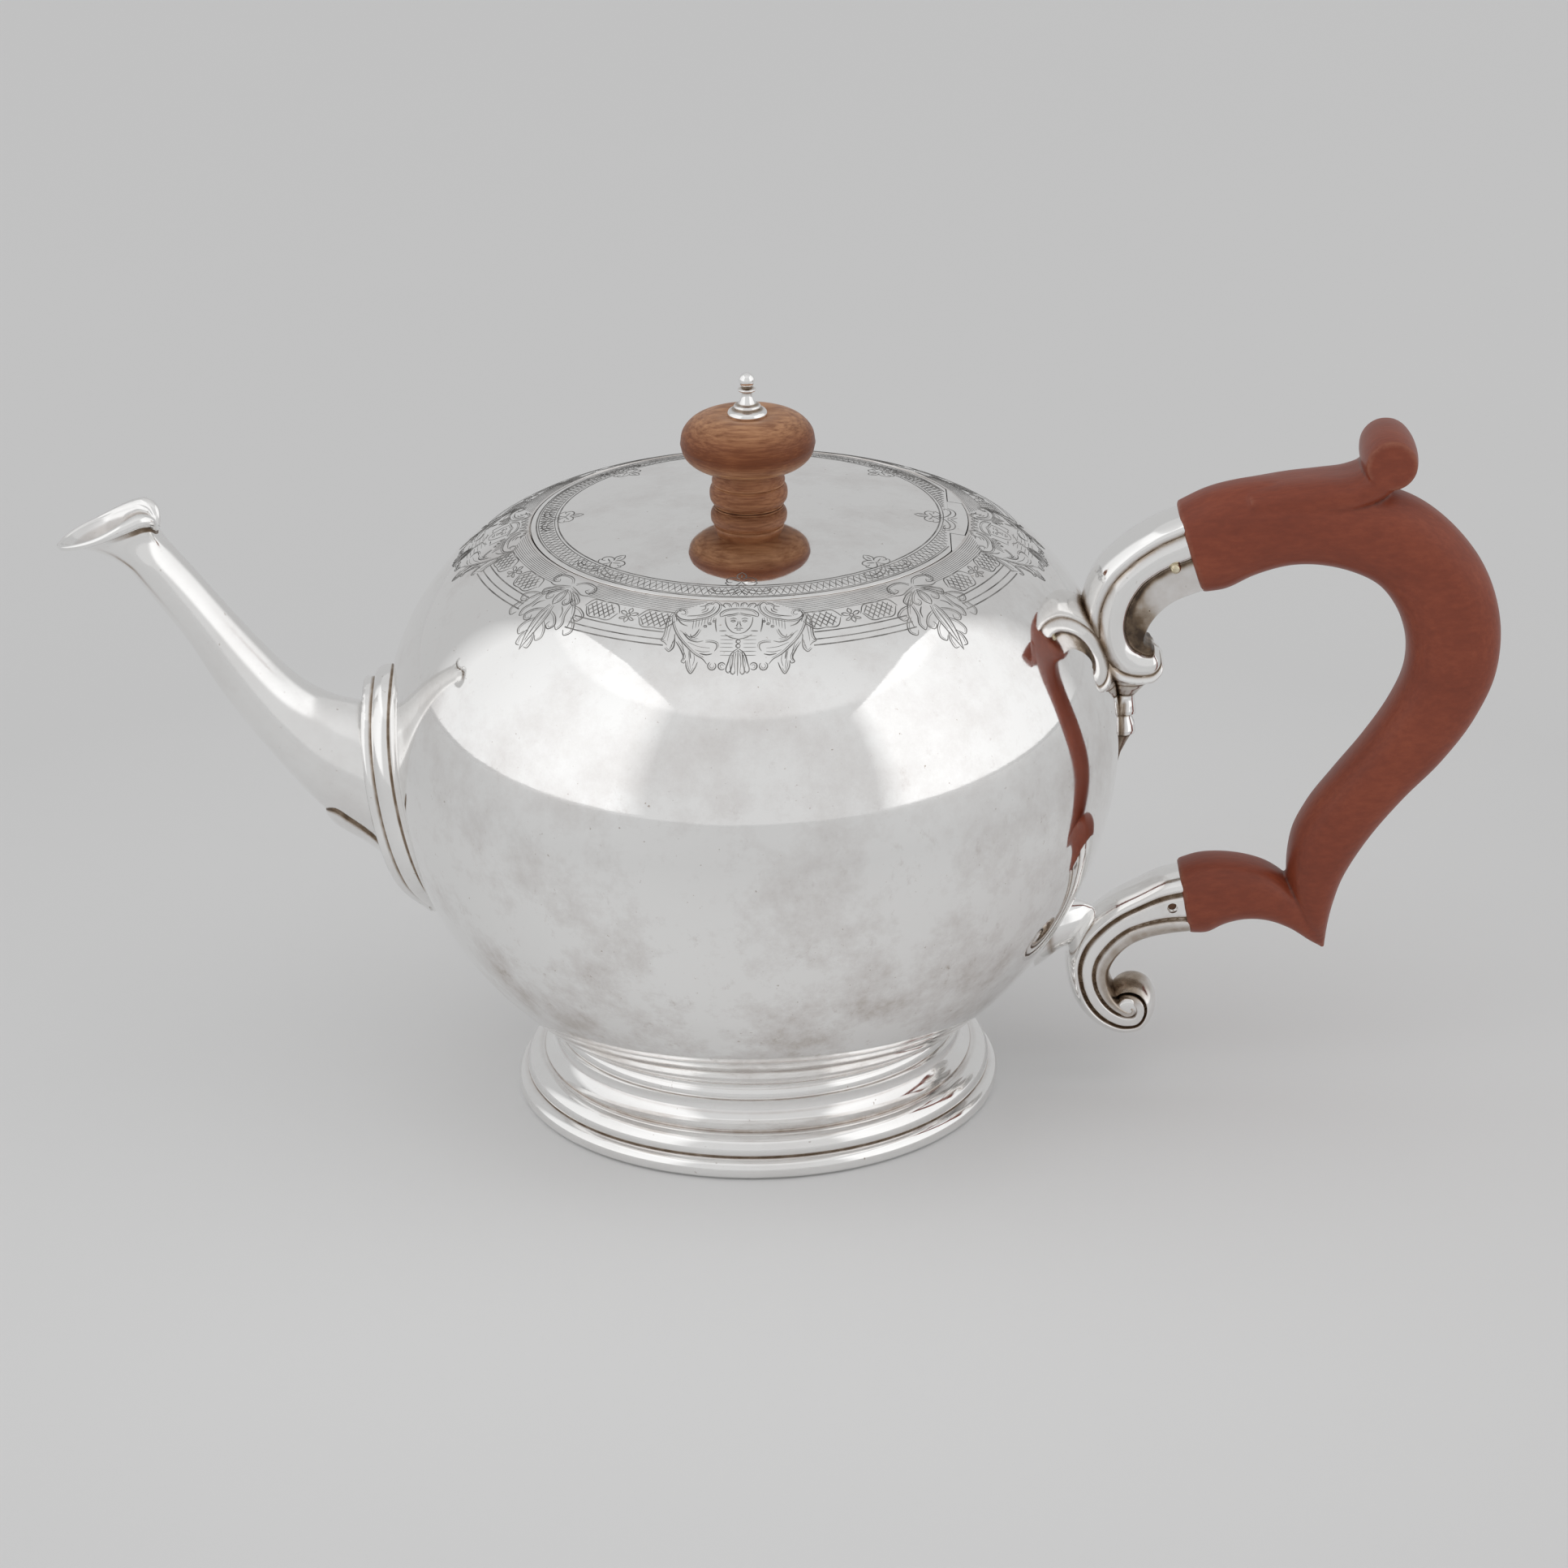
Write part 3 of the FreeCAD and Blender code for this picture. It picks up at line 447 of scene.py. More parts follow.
def make_wood(name, stretch, tones, wear_and_light_tone, sheen):
    """Close-grained hardwood, waxed and darkened, worn paler where hands rub it, with painted shade in its
    creases and painted light where points in shadow are marked paler.
    """
    material, tree, place = new_material(name)
    rub_and_painted_light = point_mark(tree)
    lines = noise(tree, stretched(tree, place, stretch), scale=1.0, detail=5.0, roughness=0.65)
    broad = noise(tree, stretched(tree, place, [scale * 0.12 for scale in stretch]), scale=1.0)
    cloud = noise(tree, place, scale=42.0, detail=6.0)
    fine_grain = math_of(tree, "MULTIPLY", lines, 0.45)
    broad_grain = math_of(tree, "MULTIPLY", broad, 0.3)
    grain = math_of(tree, "ADD", fine_grain, broad_grain)
    grain = math_of(tree, "ADD", grain, math_of(tree, "MULTIPLY", cloud, 0.25))
    flecks = remap(tree, lines, 0.36, 0.62, 0.3, 1.0)
    amount = math_of(tree, "MULTIPLY", rub_and_painted_light, flecks, clamp=True)
    # Paler where worn, and on the knop paler where light is painted into the cap's shadow
    worn = mixed(tree, amount, colours(tree, grain, tones), (*wear_and_light_tone, 1.0))
    # Painted shade in the creases, where the marks are negative
    crease_shade = remap(tree, rub_and_painted_light, 0.0, -1.0, 0.0, 0.75)
    set_surface(tree, {"Base Color": mixed(tree, crease_shade, worn, PAINTED_CREASE_SHADE),
                       "Roughness": remap(tree, cloud, 0.3, 0.7, 0.33, 0.43),
                       "Normal": bumped(tree, lines, distance=0.00006, strength=0.5),
                       "Specular IOR Level": sheen})
    return material


def make_pin_metal():
    """Soft yellow pin metal, rubbed on its head."""
    material, tree, place = new_material("pin_metal")
    wear = noise(tree, place, scale=900.0)
    shade = math_of(tree, "SUBTRACT", wear, point_mark(tree))
    set_surface(tree, {"Base Color": colours(tree, shade, PIN_TONES),
                       "Roughness": remap(tree, wear, 0.3, 0.7, 0.3, 0.14), "Metallic": 1.0})
    return material


silver_body = make_silver("silver_body", clouds=0.40, waves=0.00011, shine=0.02, dull=0.06)
silver_foot = make_silver("silver_foot", clouds=0.06, waves=0.00007, shine=0.05, dull=0.11)
silver_cast = make_silver("silver_cast", clouds=0.10, waves=0.00008, shine=0.07, dull=0.13)
silver_spout = make_silver("silver_spout", clouds=0.14, waves=0.00009, shine=0.12, dull=0.18)
silver_inside = make_silver("silver_inside", clouds=0.30, waves=0.00007, shine=0.15, dull=0.25, grime=0.24)
engraved = make_engraved()
handle_wood = make_wood("handle_wood", stretch=(420.0, 2200.0, 1000.0), tones=HANDLE_TONES,
                        wear_and_light_tone=(0.30, 0.105, 0.062), sheen=0.38)
knop_wood = make_wood("knop_wood", stretch=(180.0, 900.0, 3200.0), tones=KNOP_TONES,
                      wear_and_light_tone=(0.57, 0.30, 0.155), sheen=0.26)
pin_metal = make_pin_metal()
solder_points = []


def make_body():
    """The raised bowl: polished outside and in, with a strainer pierced behind the spout."""
    outside = body_outline()
    inside = body_outline(WALL)
    edge = 0.08
    rim = [(OPENING + edge, outside[-1, 1]), (OPENING, outside[-1, 1] - edge)]
    outline = np.vstack([outside[:-1], rim, inside[::-1]])
    from_foot = np.hypot(outline[:, 0] - FOOT_JOINT[0], outline[:, 1] - FOOT_JOINT[1])
    from_rim = np.hypot(outline[:, 0] - OPENING, outline[:, 1] - RIM_HEIGHT + WALL / 2)
    foot_line = 0.4 * bump_at(from_foot, 0.0, 0.6)
    rim_line = 0.6 * bump_at(from_rim, 0.0, 0.55)
    skin = Skin()
    skin.lathe(outline, tarnish_wear_and_shade=np.maximum(foot_line, rim_line))
    mesh = mesh_of("teapot_body", skin)
    pierce_strainer(mesh)
    dress(mesh, silver_body, SHEET_EDGE)
    piece("teapot_body", mesh, "pot", "silver", "body_shell")


def pierce_strainer(mesh):
    """Cuts the rings of strainer holes through the wall behind the spout."""
    hole_radius = 1.2
    drop = 10.5
    inner_end = -48.0
    outer_end = -62.0
    places = [(0.0, 0.0)]
    for ring, count in ((4.6, 6), (8.6, 12)):
        for turn in full_turn(count):
            places.append((ring * math.sin(turn), ring * math.cos(turn)))
    cutters = Skin()
    turn = full_turn(20)
    for across, up in places:
        y = across + hole_radius * np.cos(turn)
        z = BELLY_HEIGHT - drop + up + hole_radius * np.sin(turn)
        cutters.bar([np.column_stack([np.full(20, x), y, z]) for x in (inner_end, outer_end)])
    cut_away(mesh, cutters)


def cut_away(mesh, cutters):
    """Cuts the cutters' shapes out of a mesh."""
    knife = bpy.data.objects.new("knife", mesh_of("knife", cutters))
    block = bpy.data.objects.new("block", mesh)
    for made in (knife, block):
        bpy.context.scene.collection.objects.link(made)
    cut = block.modifiers.new("cut", "BOOLEAN")
    cut.object = knife
    cut.solver = "EXACT"
    graph = bpy.context.evaluated_depsgraph_get()
    pierced = bpy.data.meshes.new_from_object(block.evaluated_get(graph))
    work = bmesh.new()
    work.from_mesh(pierced)
    work.to_mesh(mesh)
    work.free()
    bpy.data.objects.remove(knife)
    bpy.data.objects.remove(block)
    bpy.data.meshes.remove(pierced)


def above_body(points):
    """How far points stand out from the body's side, measured level."""
    return np.hypot(points[:, 0], points[:, 1]) - body_radius(points[:, 2])


def mesh_rows(items, key, width, kind=np.float32):
    """One property of all the points or edges of a mesh, a row for each."""
    values = np.empty(len(items) * width, kind)
    items.foreach_get(key, values)
    return values.reshape(-1, width)


def point_array(mesh):
    """A mesh's points as an array in millimetres."""
    return mesh_rows(mesh.vertices, "co", 3).astype(float) / MM


def add_marks(mesh, marks):
    """Darkens a mesh's points, never making one cleaner."""
    layer = mesh.attributes["tarnish_wear_and_shade"].data
    before = mesh_rows(layer, "value", 1)[:, 0]
    layer.foreach_set("value", np.maximum(before, marks).astype(np.float32))


def brown_solder(mesh, width, strength):
    """Browns a cast piece where it meets the body, and remembers the line for the body itself."""
    points = point_array(mesh)
    gap = np.abs(above_body(points))
    add_marks(mesh, strength * bump_at(gap, 0.0, width))
    solder_points.extend(points[gap < 0.3].tolist())


def brown_body():
    """Browns the body along the lines where cast pieces are soldered to it."""
    mesh = bpy.data.meshes["teapot_body"]
    points = point_array(mesh)
    tree = KDTree(len(solder_points))
    for index, point in enumerate(solder_points):
        tree.insert(point, index)
    tree.balance()
    beside = np.abs(points[:, 0]) > OPENING + 1.0
    outside = above_body(points) > -WALL / 3
    marks = np.zeros(len(points))
    for index in np.flatnonzero(beside & outside):
        _, _, distance = tree.find(points[index])
        marks[index] = 0.64 * bump_at(distance, 0.0, 0.9)
    add_marks(mesh, marks)


def make_foot():
    """The moulded foot: bead, ovolo and cove, with dark lines in the quirks between them."""
    face = [(34.6, 0.0), (36.7, 0.0)]
    bead = arc_to((36.9, 0.05), (37.0, 3.3), 1.55, 22)
    quirk = [(36.75, 3.42), (36.75, 3.62)]
    ovolo = arc_to((36.95, 3.75), (34.35, 6.5), 0.95, 20)
    step = [(34.0, 6.56), (33.95, 6.75)]
    cove = arc_to((34.05, 6.85), (32.0, 10.75), -0.85, 18)
    fillet = [(31.85, 10.85), (31.85, 10.98)]
    collar = arc_to((31.95, 11.08), (31.35, 13.0), 0.3, 8)
    inner = arc_to((29.6, 11.9), (34.6, 0.0), 0.0001, 6)
    outline = np.vstack([face, bead, quirk, ovolo, step, cove, fillet, collar, inner])
    radius, level = outline.T
    dirt_and_shade = 0.95 * bump_at(level, 3.52, 0.16) * (radius > 36.0)
    dirt_and_shade += 0.85 * bump_at(level, 6.66, 0.1) * (radius > 33.0)
    dirt_and_shade += 0.7 * bump_at(level, 10.92, 0.08) * (radius > 31.0)
    dirt_and_shade += 0.3 * bump_at(level, 13.0, 0.2) + 0.18 * bump_at(level, 8.8, 0.2)
    skin = Skin()
    skin.lathe(outline, tarnish_wear_and_shade=np.clip(dirt_and_shade, 0, 1))
    skin_piece("foot_moulding", skin, silver_foot, TURNED_EDGE, "pot", "silver", "foot_ring")


def lid_edge(turn):
    """The lid's radius at an angle: round, but cut straight along the hinge."""
    cosine = np.maximum(np.cos(turn), 1e-6)
    return np.where(np.cos(turn) > 0.5, np.minimum(LID_RADIUS, LID_CHORD / cosine), LID_RADIUS)


def make_lid():
    """The flush domed lid with its straight hinge edge and the stiffening ring beneath."""
    turn = full_turn(384)
    edge = lid_edge(turn)
    flat = np.ones_like(turn)
    soft = 0.08
    rows = []
    for radius in np.concatenate([[BOLT_HOLE], np.linspace(2.5, 30.0, 24)]):
        rows.append((flat * radius, flat * dome_height(radius)))
    rows.append((edge - soft, dome_height(edge - soft)))
    rows.append((edge - 0.3 * soft, dome_height(edge) - 0.3 * soft))
    side = len(rows)
    rows.append((edge, dome_height(edge) - soft))
    rows.append((edge, flat * LID_UNDER))
    rows.append((flat * LID_LEDGE, flat * LID_UNDER))
    for radius in np.linspace(LID_LEDGE, RIB_OUTER, 12):
        rows.append((flat * radius, flat * (dome_height(radius) - LID_SHEET)))
    for radius in (RIB_OUTER, RIB_INNER):
        rows.append((flat * radius, flat * (dome_height(RIB_OUTER) - LID_SHEET - RIB_DEPTH)))
    for radius in np.linspace(RIB_INNER, BOLT_HOLE, 4):
        rows.append((flat * radius, flat * (dome_height(radius) - LID_SHEET)))
    rows.append(rows[0])
    grid = [np.column_stack([radius * np.cos(turn), radius * np.sin(turn), height])
            for radius, height in rows]
    dark_side = np.zeros((len(grid), 1))
    dark_side[side:side + 2] = 0.5
    skin = Skin()
    skin.grid(grid, closed=True, tarnish_wear_and_shade=dark_side)
    skin_piece("lid_dome", skin, silver_body, SHEET_EDGE, "lid", "silver", "lid_plate")


def leaf_rows(stations, outer_radius, barrel, inner_x, drop):
    """Sections of a hinge leaf: flush with the lid's dome on top, round the pin below."""
    turns = np.linspace(math.pi, 2 * math.pi, 13)
    rows = []
    for y in stations:
        outer_x = math.sqrt(outer_radius ** 2 - y ** 2)
        over = np.linspace(inner_x, max(outer_x, inner_x + LEAF_LAP), 9)
        top = np.column_stack([over, np.full(9, y), dome_height(np.hypot(over, y))])
        under_x = np.clip(HINGE_X + barrel * np.cos(turns), inner_x, over[-1])
        under = np.column_stack([under_x, np.full(13, y), HINGE_Z + barrel * np.sin(turns)])
        corner = [(over[-1], y, HINGE_Z - drop)]
        rows.append(np.vstack([top, corner, under[::-1]]))
    return rows


def make_hinge_leaves():
    """The three flush leaves of the hinge: two soldered to the rim, and the lid's own between them."""
    end = math.sqrt(OPENING ** 2 - (FIXED_LEAF_X + LEAF_LAP) ** 2)
    beside = np.linspace(LEAF_HALF + LEAF_GAP, end, 24)
    between = np.linspace(-LEAF_HALF, LEAF_HALF, 41)
    # Outer radius, radius round the pin, inner edge and depth of the outer corner
    fixed = (OPENING + LEAF_LAP, HINGE_X - FIXED_LEAF_X, FIXED_LEAF_X, FIXED_LEAF_DROP)
    moving = (LEAF_RADIUS, KNUCKLE, LID_CHORD - LID_LEAF_LAP, 0.0)
    for name, body, node, stations, form in (
            ("hinge_leaf_front", "pot", "hinge_knuckle_front", -beside, fixed),
            ("hinge_leaf_rear", "pot", "hinge_knuckle_rear", beside, fixed),
            ("hinge_leaf_lid", "lid", "lid_knuckle", between, moving)):
        skin = Skin()
        skin.bar(leaf_rows(stations, *form))
        skin_piece(name, skin, silver_body, SHEET_EDGE, body, "silver", node)


def make_knop():
    """The turned wooden knop: a mushroom cap on a ringed stem."""
    foot = [(5.35, 0.0), (5.45, 0.18), (5.3, 0.3)]
    bulge = smooth_line([(5.5, 0.36), (5.9, 0.95), (6.05, 1.9), (5.9, 2.85), (5.55, 3.4)], 20)
    groove = [(5.38, 3.46), (5.38, 3.56)]
    collar = smooth_line([(5.62, 3.64), (5.66, 3.85), (5.45, 4.8), (5.1, 5.9), (5.02, 6.12)], 16)
    under = smooth_line([(5.12, 6.16), (6.6, 6.25), (8.6, 6.95), (9.95, 8.3), (10.45, 10.0)], 28)
    over = smooth_line([(10.45, 10.0), (10.1, 11.8), (8.85, 13.35), (6.8, 14.3), (4.6, 14.6),
                        (3.2, 14.45), (BOLT_HOLE, 14.4)], 36)
    bore = [(BOLT_HOLE, 0.0)]
    outline = np.vstack([bore, foot, bulge, groove, collar, under, over[1:], bore])
    level = outline[:, 1].copy()
    stem_top = 6.1
    rub_and_painted_light = 0.85 * bump_at(level, 14.5, 1.7) + 0.7 * bump_at(level, 3.66, 0.12)
    # Painted light: the stem and the cap's underside lie in the cap's shadow and are marked paler
    rub_and_painted_light += 0.36 * (level < stem_top)
    rub_and_painted_light += 0.8 * ramp(level, 9.4, -2.0) * (level > stem_top)
    rub_and_painted_light += 0.5 * bump_at(level, 3.36, 0.08) + 0.5 * bump_at(level, 0.2, 0.1)
    outline[:, 1] += LID_APEX
    outline[0, 1] = outline[-1, 1] = dome_height(BOLT_HOLE)
    skin = Skin()
    skin.lathe(outline, tarnish_wear_and_shade=rub_and_painted_light, segments=128)
    skin_piece("knop_turned", skin, knop_wood, CAST_EDGE, "lid", "knop_wood", "knop")


def make_finial():
    """The silver finial and its bolt: flange, ring, bell, disc and ball."""
    base = LID_APEX + KNOP_HEIGHT
    tail = BOLT_END - base
    shank = [(0.0, tail), (0.8, tail), (1.0, tail + 0.3), (1.0, -0.3), (2.6, -0.3)]
    flange = smooth_line([(3.05, 0.0), (3.12, 0.35), (2.9, 0.8), (2.3, 1.1)], 14)
    ring = smooth_line([(2.0, 1.16), (2.1, 1.4), (2.0, 1.7), (1.72, 1.86)], 10)
    bell = smooth_line([(1.45, 1.95), (1.05, 2.6), (0.85, 3.3), (0.82, 3.75)], 12)
    disc = smooth_line([(0.95, 3.85), (1.42, 4.1), (1.44, 4.24), (0.98, 4.46)], 12)
    waist = [(0.82, 4.52), (0.82, 4.72)]
    ball = arc((0.0, 5.65), 1.25, math.asin(-0.74), math.pi / 2, 18)
    outline = np.vstack([shank, flange, ring, bell, disc, waist, ball])
    level = outline[:, 1]
    dirt_and_shade = 0.9 * bump_at(level, 4.62, 0.18) + 0.6 * bump_at(level, 1.13, 0.12)
    dirt_and_shade += 0.55 * bump_at(level, 1.9, 0.15) + 0.5 * bump_at(level, 3.75, 0.2)
    outline[:, 1] += base
    skin = Skin()
    skin.lathe(outline, tarnish_wear_and_shade=dirt_and_shade, segments=96)
    skin_piece("finial_bolt", skin, silver_foot, TURNED_EDGE, "lid", "silver", "knop_finial")


# Ends of the spout's sections in the plane y = 0 as (top x, top z, bottom x, bottom z, half width)
SPOUT_SECTIONS = [
    (-49.1, 66.0, -43.1, 29.0, 11.5),
    (-58.5, 65.4, -52.6, 32.2, 10.5),
    (-62.0, 66.0, -59.1, 41.9, 9.0),
    (-66.0, 67.2, -67.2, 47.9, 7.8),
    (-70.8, 70.1, -75.2, 57.3, 6.6),
    (-76.5, 76.1, -82.9, 68.2, 5.5),
    (-82.0, 82.8, -88.2, 77.4, 4.8),
    (-86.1, 88.1, -93.0, 84.2, 4.6),
    (-89.4, 92.2, -96.4, 88.9, 4.7),
]
# Half of the lip's rolled edge, from its tip round one ear to the back, and the roll's thickness
LIP = [
    (-107.0, 0.0, 92.75, 0.42), (-106.2, 2.3, 93.1, 0.42), (-104.2, 4.2, 93.9, 0.45),
    (-101.0, 5.3, 95.1, 0.52), (-98.0, 5.4, 96.4, 0.72), (-95.6, 4.7, 97.4, 0.98),
    (-93.9, 3.9, 97.9, 1.1), (-92.6, 3.1, 97.5, 0.95), (-91.9, 1.9, 96.2, 0.6), (-91.7, 0.0, 95.4, 0.42),
]
# Section of the reeded moulding as (place across it, lift off the body, darkness)
REEDS = [
    (-2.2, -0.8, 0.0), (-2.2, 3.3, 0.0), (-2.05, 3.75, 0.0), (-1.75, 3.95, 0.0), (-1.4, 3.85, 0.0),
    (-1.15, 3.5, 0.0), (-1.02, 3.0, 0.0), (-0.97, 2.65, 0.5), (-0.88, 2.45, 0.75), (-0.7, 2.42, 0.2),
    (-0.4, 2.45, 0.0), (0.1, 2.38, 0.0), (0.6, 2.1, 0.0), (1.0, 1.7, 0.0), (1.3, 1.2, 0.0),
    (1.5, 0.7, 0.0), (1.58, 0.32, 0.0), (1.6, 0.14, 0.7), (1.62, -0.1, 0.8), (1.62, -0.8, 0.0),
]
SPOUT_WALL = 0.9
SPOUT_FULLNESS = 1.12
KEEL_TIP = -67.9
KEEL_ROOT = -51.5
KEEL_REACH = 0.85
KEEL_RISE = 1.45


def spout_ring(section, inset, turn):
    """An oval section of the spout: angle 0 is its under side and half a turn its top."""
    top = np.array([section[0], 0.0, section[1]])
    bottom = np.array([section[2], 0.0, section[3]])
    middle = (top + bottom) / 2
    arm = (bottom - top) / 2
    lean = signed_power(np.cos(turn), SPOUT_FULLNESS) * (1 - inset / np.linalg.norm(arm))
    side = signed_power(np.sin(turn), SPOUT_FULLNESS) * (section[4] - inset)
    return middle + lean[:, None] * arm + side[:, None] * SIDEWAYS


def lip_curve(half_count):
    """The whole lip's edge, its roll thickness, and the direction in which it flares."""
    half = smooth_line(LIP, half_count)
    back = half[-2:0:-1] * (1, -1, 1, 1)
    edge = np.vstack([half, back])
    middle = np.array([-97.5, 0.0, 95.6])
    return edge[:, :3], edge[:, 3], unit(edge[:, :3] - middle)


def flared(start, start_way, end, end_way, count):
    """Rows of points that leave a ring along one way and reach another ring along another."""
    return [eased(share, start, start_way, end, end_way) for share in np.linspace(0, 1, count)]


def lip_rows(outer, inner, turn):
    """Rows that flare from the spout's end rings to its rolled lip: outside, roll and inside."""
    edge, roll, flare = lip_curve(len(turn) // 2 + 1)
    roll = roll[:, None]
    way = np.array([-0.66, 0.0, 0.75])
    leave = np.broadcast_to(way * 5.5, edge.shape)
    front = (0.5 + 0.5 * np.cos(turn))[:, None]
    outer_way = way * (3.0 - 2.5 * front) + flare * (2.0 + 10.0 * front)
    inner_way = way * 2.0 + flare * (1.0 + 8.0 * front)
    up = unit(np.cross(np.gradient(edge, axis=0), flare))
    up *= np.sign(up[:, 2:])
    skirt = edge - up * roll
    throat = edge + up * roll * 0.25 - flare * roll
    bead = []
    for angle in np.radians(np.linspace(-90, 165, 14)):
        bead.append(edge + roll * (math.cos(angle) * flare + math.sin(angle) * up))
    return flared(outer, leave, skirt, outer_way, 22), bead, flared(inner, leave, throat, inner_way, 22)


def make_spout():
    """The cast spout with its rolled pouring lip and the keel under its root."""
    turn = full_turn(120)
    sections = smooth_line(SPOUT_SECTIONS, 56)
    outer = [spout_ring(section, 0.0, turn) for section in sections]
    inner = [spout_ring(section, SPOUT_WALL, turn) for section in sections]
    outside, bead, inside = lip_rows(outer[-1], inner[-1], turn)
    rows = outer + outside[1:] + bead[1:] + inside[::-1] + inner[-2::-1] + [outer[0]]
    dirt_and_shade = np.zeros((len(rows), len(turn)))
    # Painted shade in the crease under the lip's ears
    crease_shade = len(outer) + len(outside) - 3
    side = np.clip(0.15 - 1.1 * np.cos(turn), 0, 1)
    dirt_and_shade[crease_shade - 3:crease_shade + 2] = 0.85 * side
    deep = len(outer) + len(outside) + len(bead) + len(inside)
    dirt_and_shade[deep:] = 0.45
    mouth = len(inside) - 2
    dirt_and_shade[deep - mouth:deep] = np.linspace(0.24, 0.5, mouth)[:, None] * (0.75 + 0.25 * side)
    neck = bump_at(np.arange(len(rows)), len(outer) + 3, 7.0)
    dirt_and_shade += 0.6 * neck[:, None] * bump_at(turn, 2 * math.pi - 0.85, 0.1)
    skin = Skin()
    skin.grid(rows, closed=True, tarnish_wear_and_shade=dirt_and_shade)
    add_keel(skin)
    skin_piece("spout_cast", skin, silver_spout, CAST_EDGE, "pot", "silver", "spout")


def add_keel(skin):
    """The raised tongue along the under side of the spout's root, with a painted shadow line along both its
    edges.
    """
    count = 44
    sections = smooth_line(SPOUT_SECTIONS[:5], 160)
    sections = sections[(sections[:, 2] > KEEL_TIP) & (sections[:, 2] < KEEL_ROOT)]
    sections = sections[np.linspace(len(sections) - 1, 0, count).astype(int)]
    run = np.linspace(0, 1, count)
    nose = np.sqrt(1 - (1 - ramp(run, 0.0, 0.14)) ** 2)
    reach = KEEL_REACH * (0.04 + 0.96 * nose) * (1 - 0.45 * run)
    across = np.sin(np.linspace(-math.pi / 2, math.pi / 2, 25))
    rise = np.sqrt(1 - across ** 2)
    rows = []
    for section, half, tip in zip(sections, reach, nose):
        over = spout_ring(section, -KEEL_RISE * tip * rise - 0.01, half * across)
        under = spout_ring(section, np.full(25, 0.3), half * across)
        rows.append(np.vstack([over, under[::-1]]))
    # Painted shadow lines along both edges of the tongue
    edge = 0.8 * ramp(np.abs(across), 0.9, 0.06)
    skin.bar(rows, np.concatenate([edge, edge]))


def make_spout_moulding():
    """The reeded moulding round the spout's root: a thin reed and a stout one, dark in the groove."""
    count = 220
    turn = full_turn(count)
    middle = 50.4
    above = 19.6
    below = 21.0
    half_width = 11.7
    tall = np.cos(turn)
    height = middle + np.where(tall > 0, above, below) * tall
    ogive = 1 - np.abs(np.minimum(tall, 0)) ** 1.9
    oval = np.sqrt(np.clip(1 - np.maximum(tall, 0) ** 2, 0, 1))
    across = half_width * np.sign(np.sin(turn)) * np.where(tall > 0, oval, ogive)
    radius = body_radius(height)
    path = np.column_stack([-np.sqrt(radius ** 2 - across ** 2), across, height])
    slope = (body_radius(height + 0.05) - body_radius(height - 0.05)) / 0.1
    normal = unit(np.column_stack([path[:, 0] / radius, path[:, 1] / radius, -slope]))
    ahead = unit(np.roll(path, -1, axis=0) - np.roll(path, 1, axis=0))
    away = unit(np.cross(ahead, normal))
    pinch = 1 - 0.62 * ramp(-tall, 0.55, 0.45) ** 1.5
    rows = []
    for place, lift, _ in REEDS:
        side = away * (place * pinch)[:, None]
        rise = normal * np.where(lift > 0, lift * pinch, lift)[:, None]
        rows.append(path + side + rise)
    rows.append(rows[0])
    skin = Skin()
    darkness = [dark for _, _, dark in REEDS] + [0.0]
    skin.grid(rows, closed=True, tarnish_wear_and_shade=np.array(darkness)[:, None])
    skin_piece("spout_reeds", skin, silver_cast, REED_EDGE, "pot", "silver", "spout_moulding")


# Sections of the handle as (outer x, outer z, inner x, inner z, half width)
HANDLE_SECTIONS = [
    (66.5, 96.95, 70.7, 82.8, 5.75), (70.6, 99.0, 73.9, 83.3, 5.85), (76.0, 100.4, 78.2, 85.4, 5.9),
    (83.0, 101.0, 83.6, 87.0, 6.0), (90.5, 100.6, 88.6, 87.0, 6.0), (97.5, 99.4, 93.4, 85.8, 6.0),
    (104.2, 96.7, 97.4, 83.7, 6.0), (110.4, 91.4, 100.3, 80.1, 6.0), (114.8, 84.8, 101.9, 76.0, 6.0),
    (117.0, 76.8, 102.4, 72.0, 6.0), (116.6, 68.8, 101.8, 68.0, 5.9), (113.6, 61.3, 99.6, 63.1, 5.8),
    (108.6, 54.0, 95.8, 57.3, 5.6), (102.6, 47.5, 91.2, 51.4, 5.4), (97.2, 40.6, 87.2, 45.9, 5.2),
    (93.6, 34.5, 84.9, 40.6, 5.0), (91.9, 29.6, 84.6, 33.0, 4.6), (91.1, 25.8, 86.9, 27.0, 3.4),
    (90.7, 22.0, 90.0, 21.9, 0.9),
]
LOWER_ARM_SECTIONS = [
    (67.4, 36.5, 69.3, 24.9, 5.15), (70.2, 37.4, 71.7, 24.9, 5.2), (73.6, 37.6, 74.6, 26.3, 5.1),
    (77.5, 37.1, 77.8, 27.05, 5.0), (81.4, 35.8, 81.2, 26.8, 4.7), (85.0, 33.1, 84.7, 25.4, 4.1),
    (88.0, 28.6, 88.2, 22.9, 2.9), (90.3, 22.4, 90.1, 21.5, 0.7),
]
# The tongue that rolls up into the thumb scroll, as (top x, top z, bottom x, bottom z, half width)
TONGUE_SECTIONS = [
    (77.0, 100.1, 78.6, 94.4, 5.4), (84.0, 101.2, 85.6, 95.0, 5.7), (88.5, 101.6, 90.0, 95.8, 5.85),
    (92.4, 102.0, 94.4, 97.0, 6.1), (94.9, 103.1, 98.2, 98.6, 6.1), (96.8, 105.6, 101.2, 100.9, 6.0),
]
THUMB_CENTRE = (98.85, 104.55)
THUMB_RADIUS = 4.4
THUMB_TAPER = 0.4
THUMB_HALF = 6.2


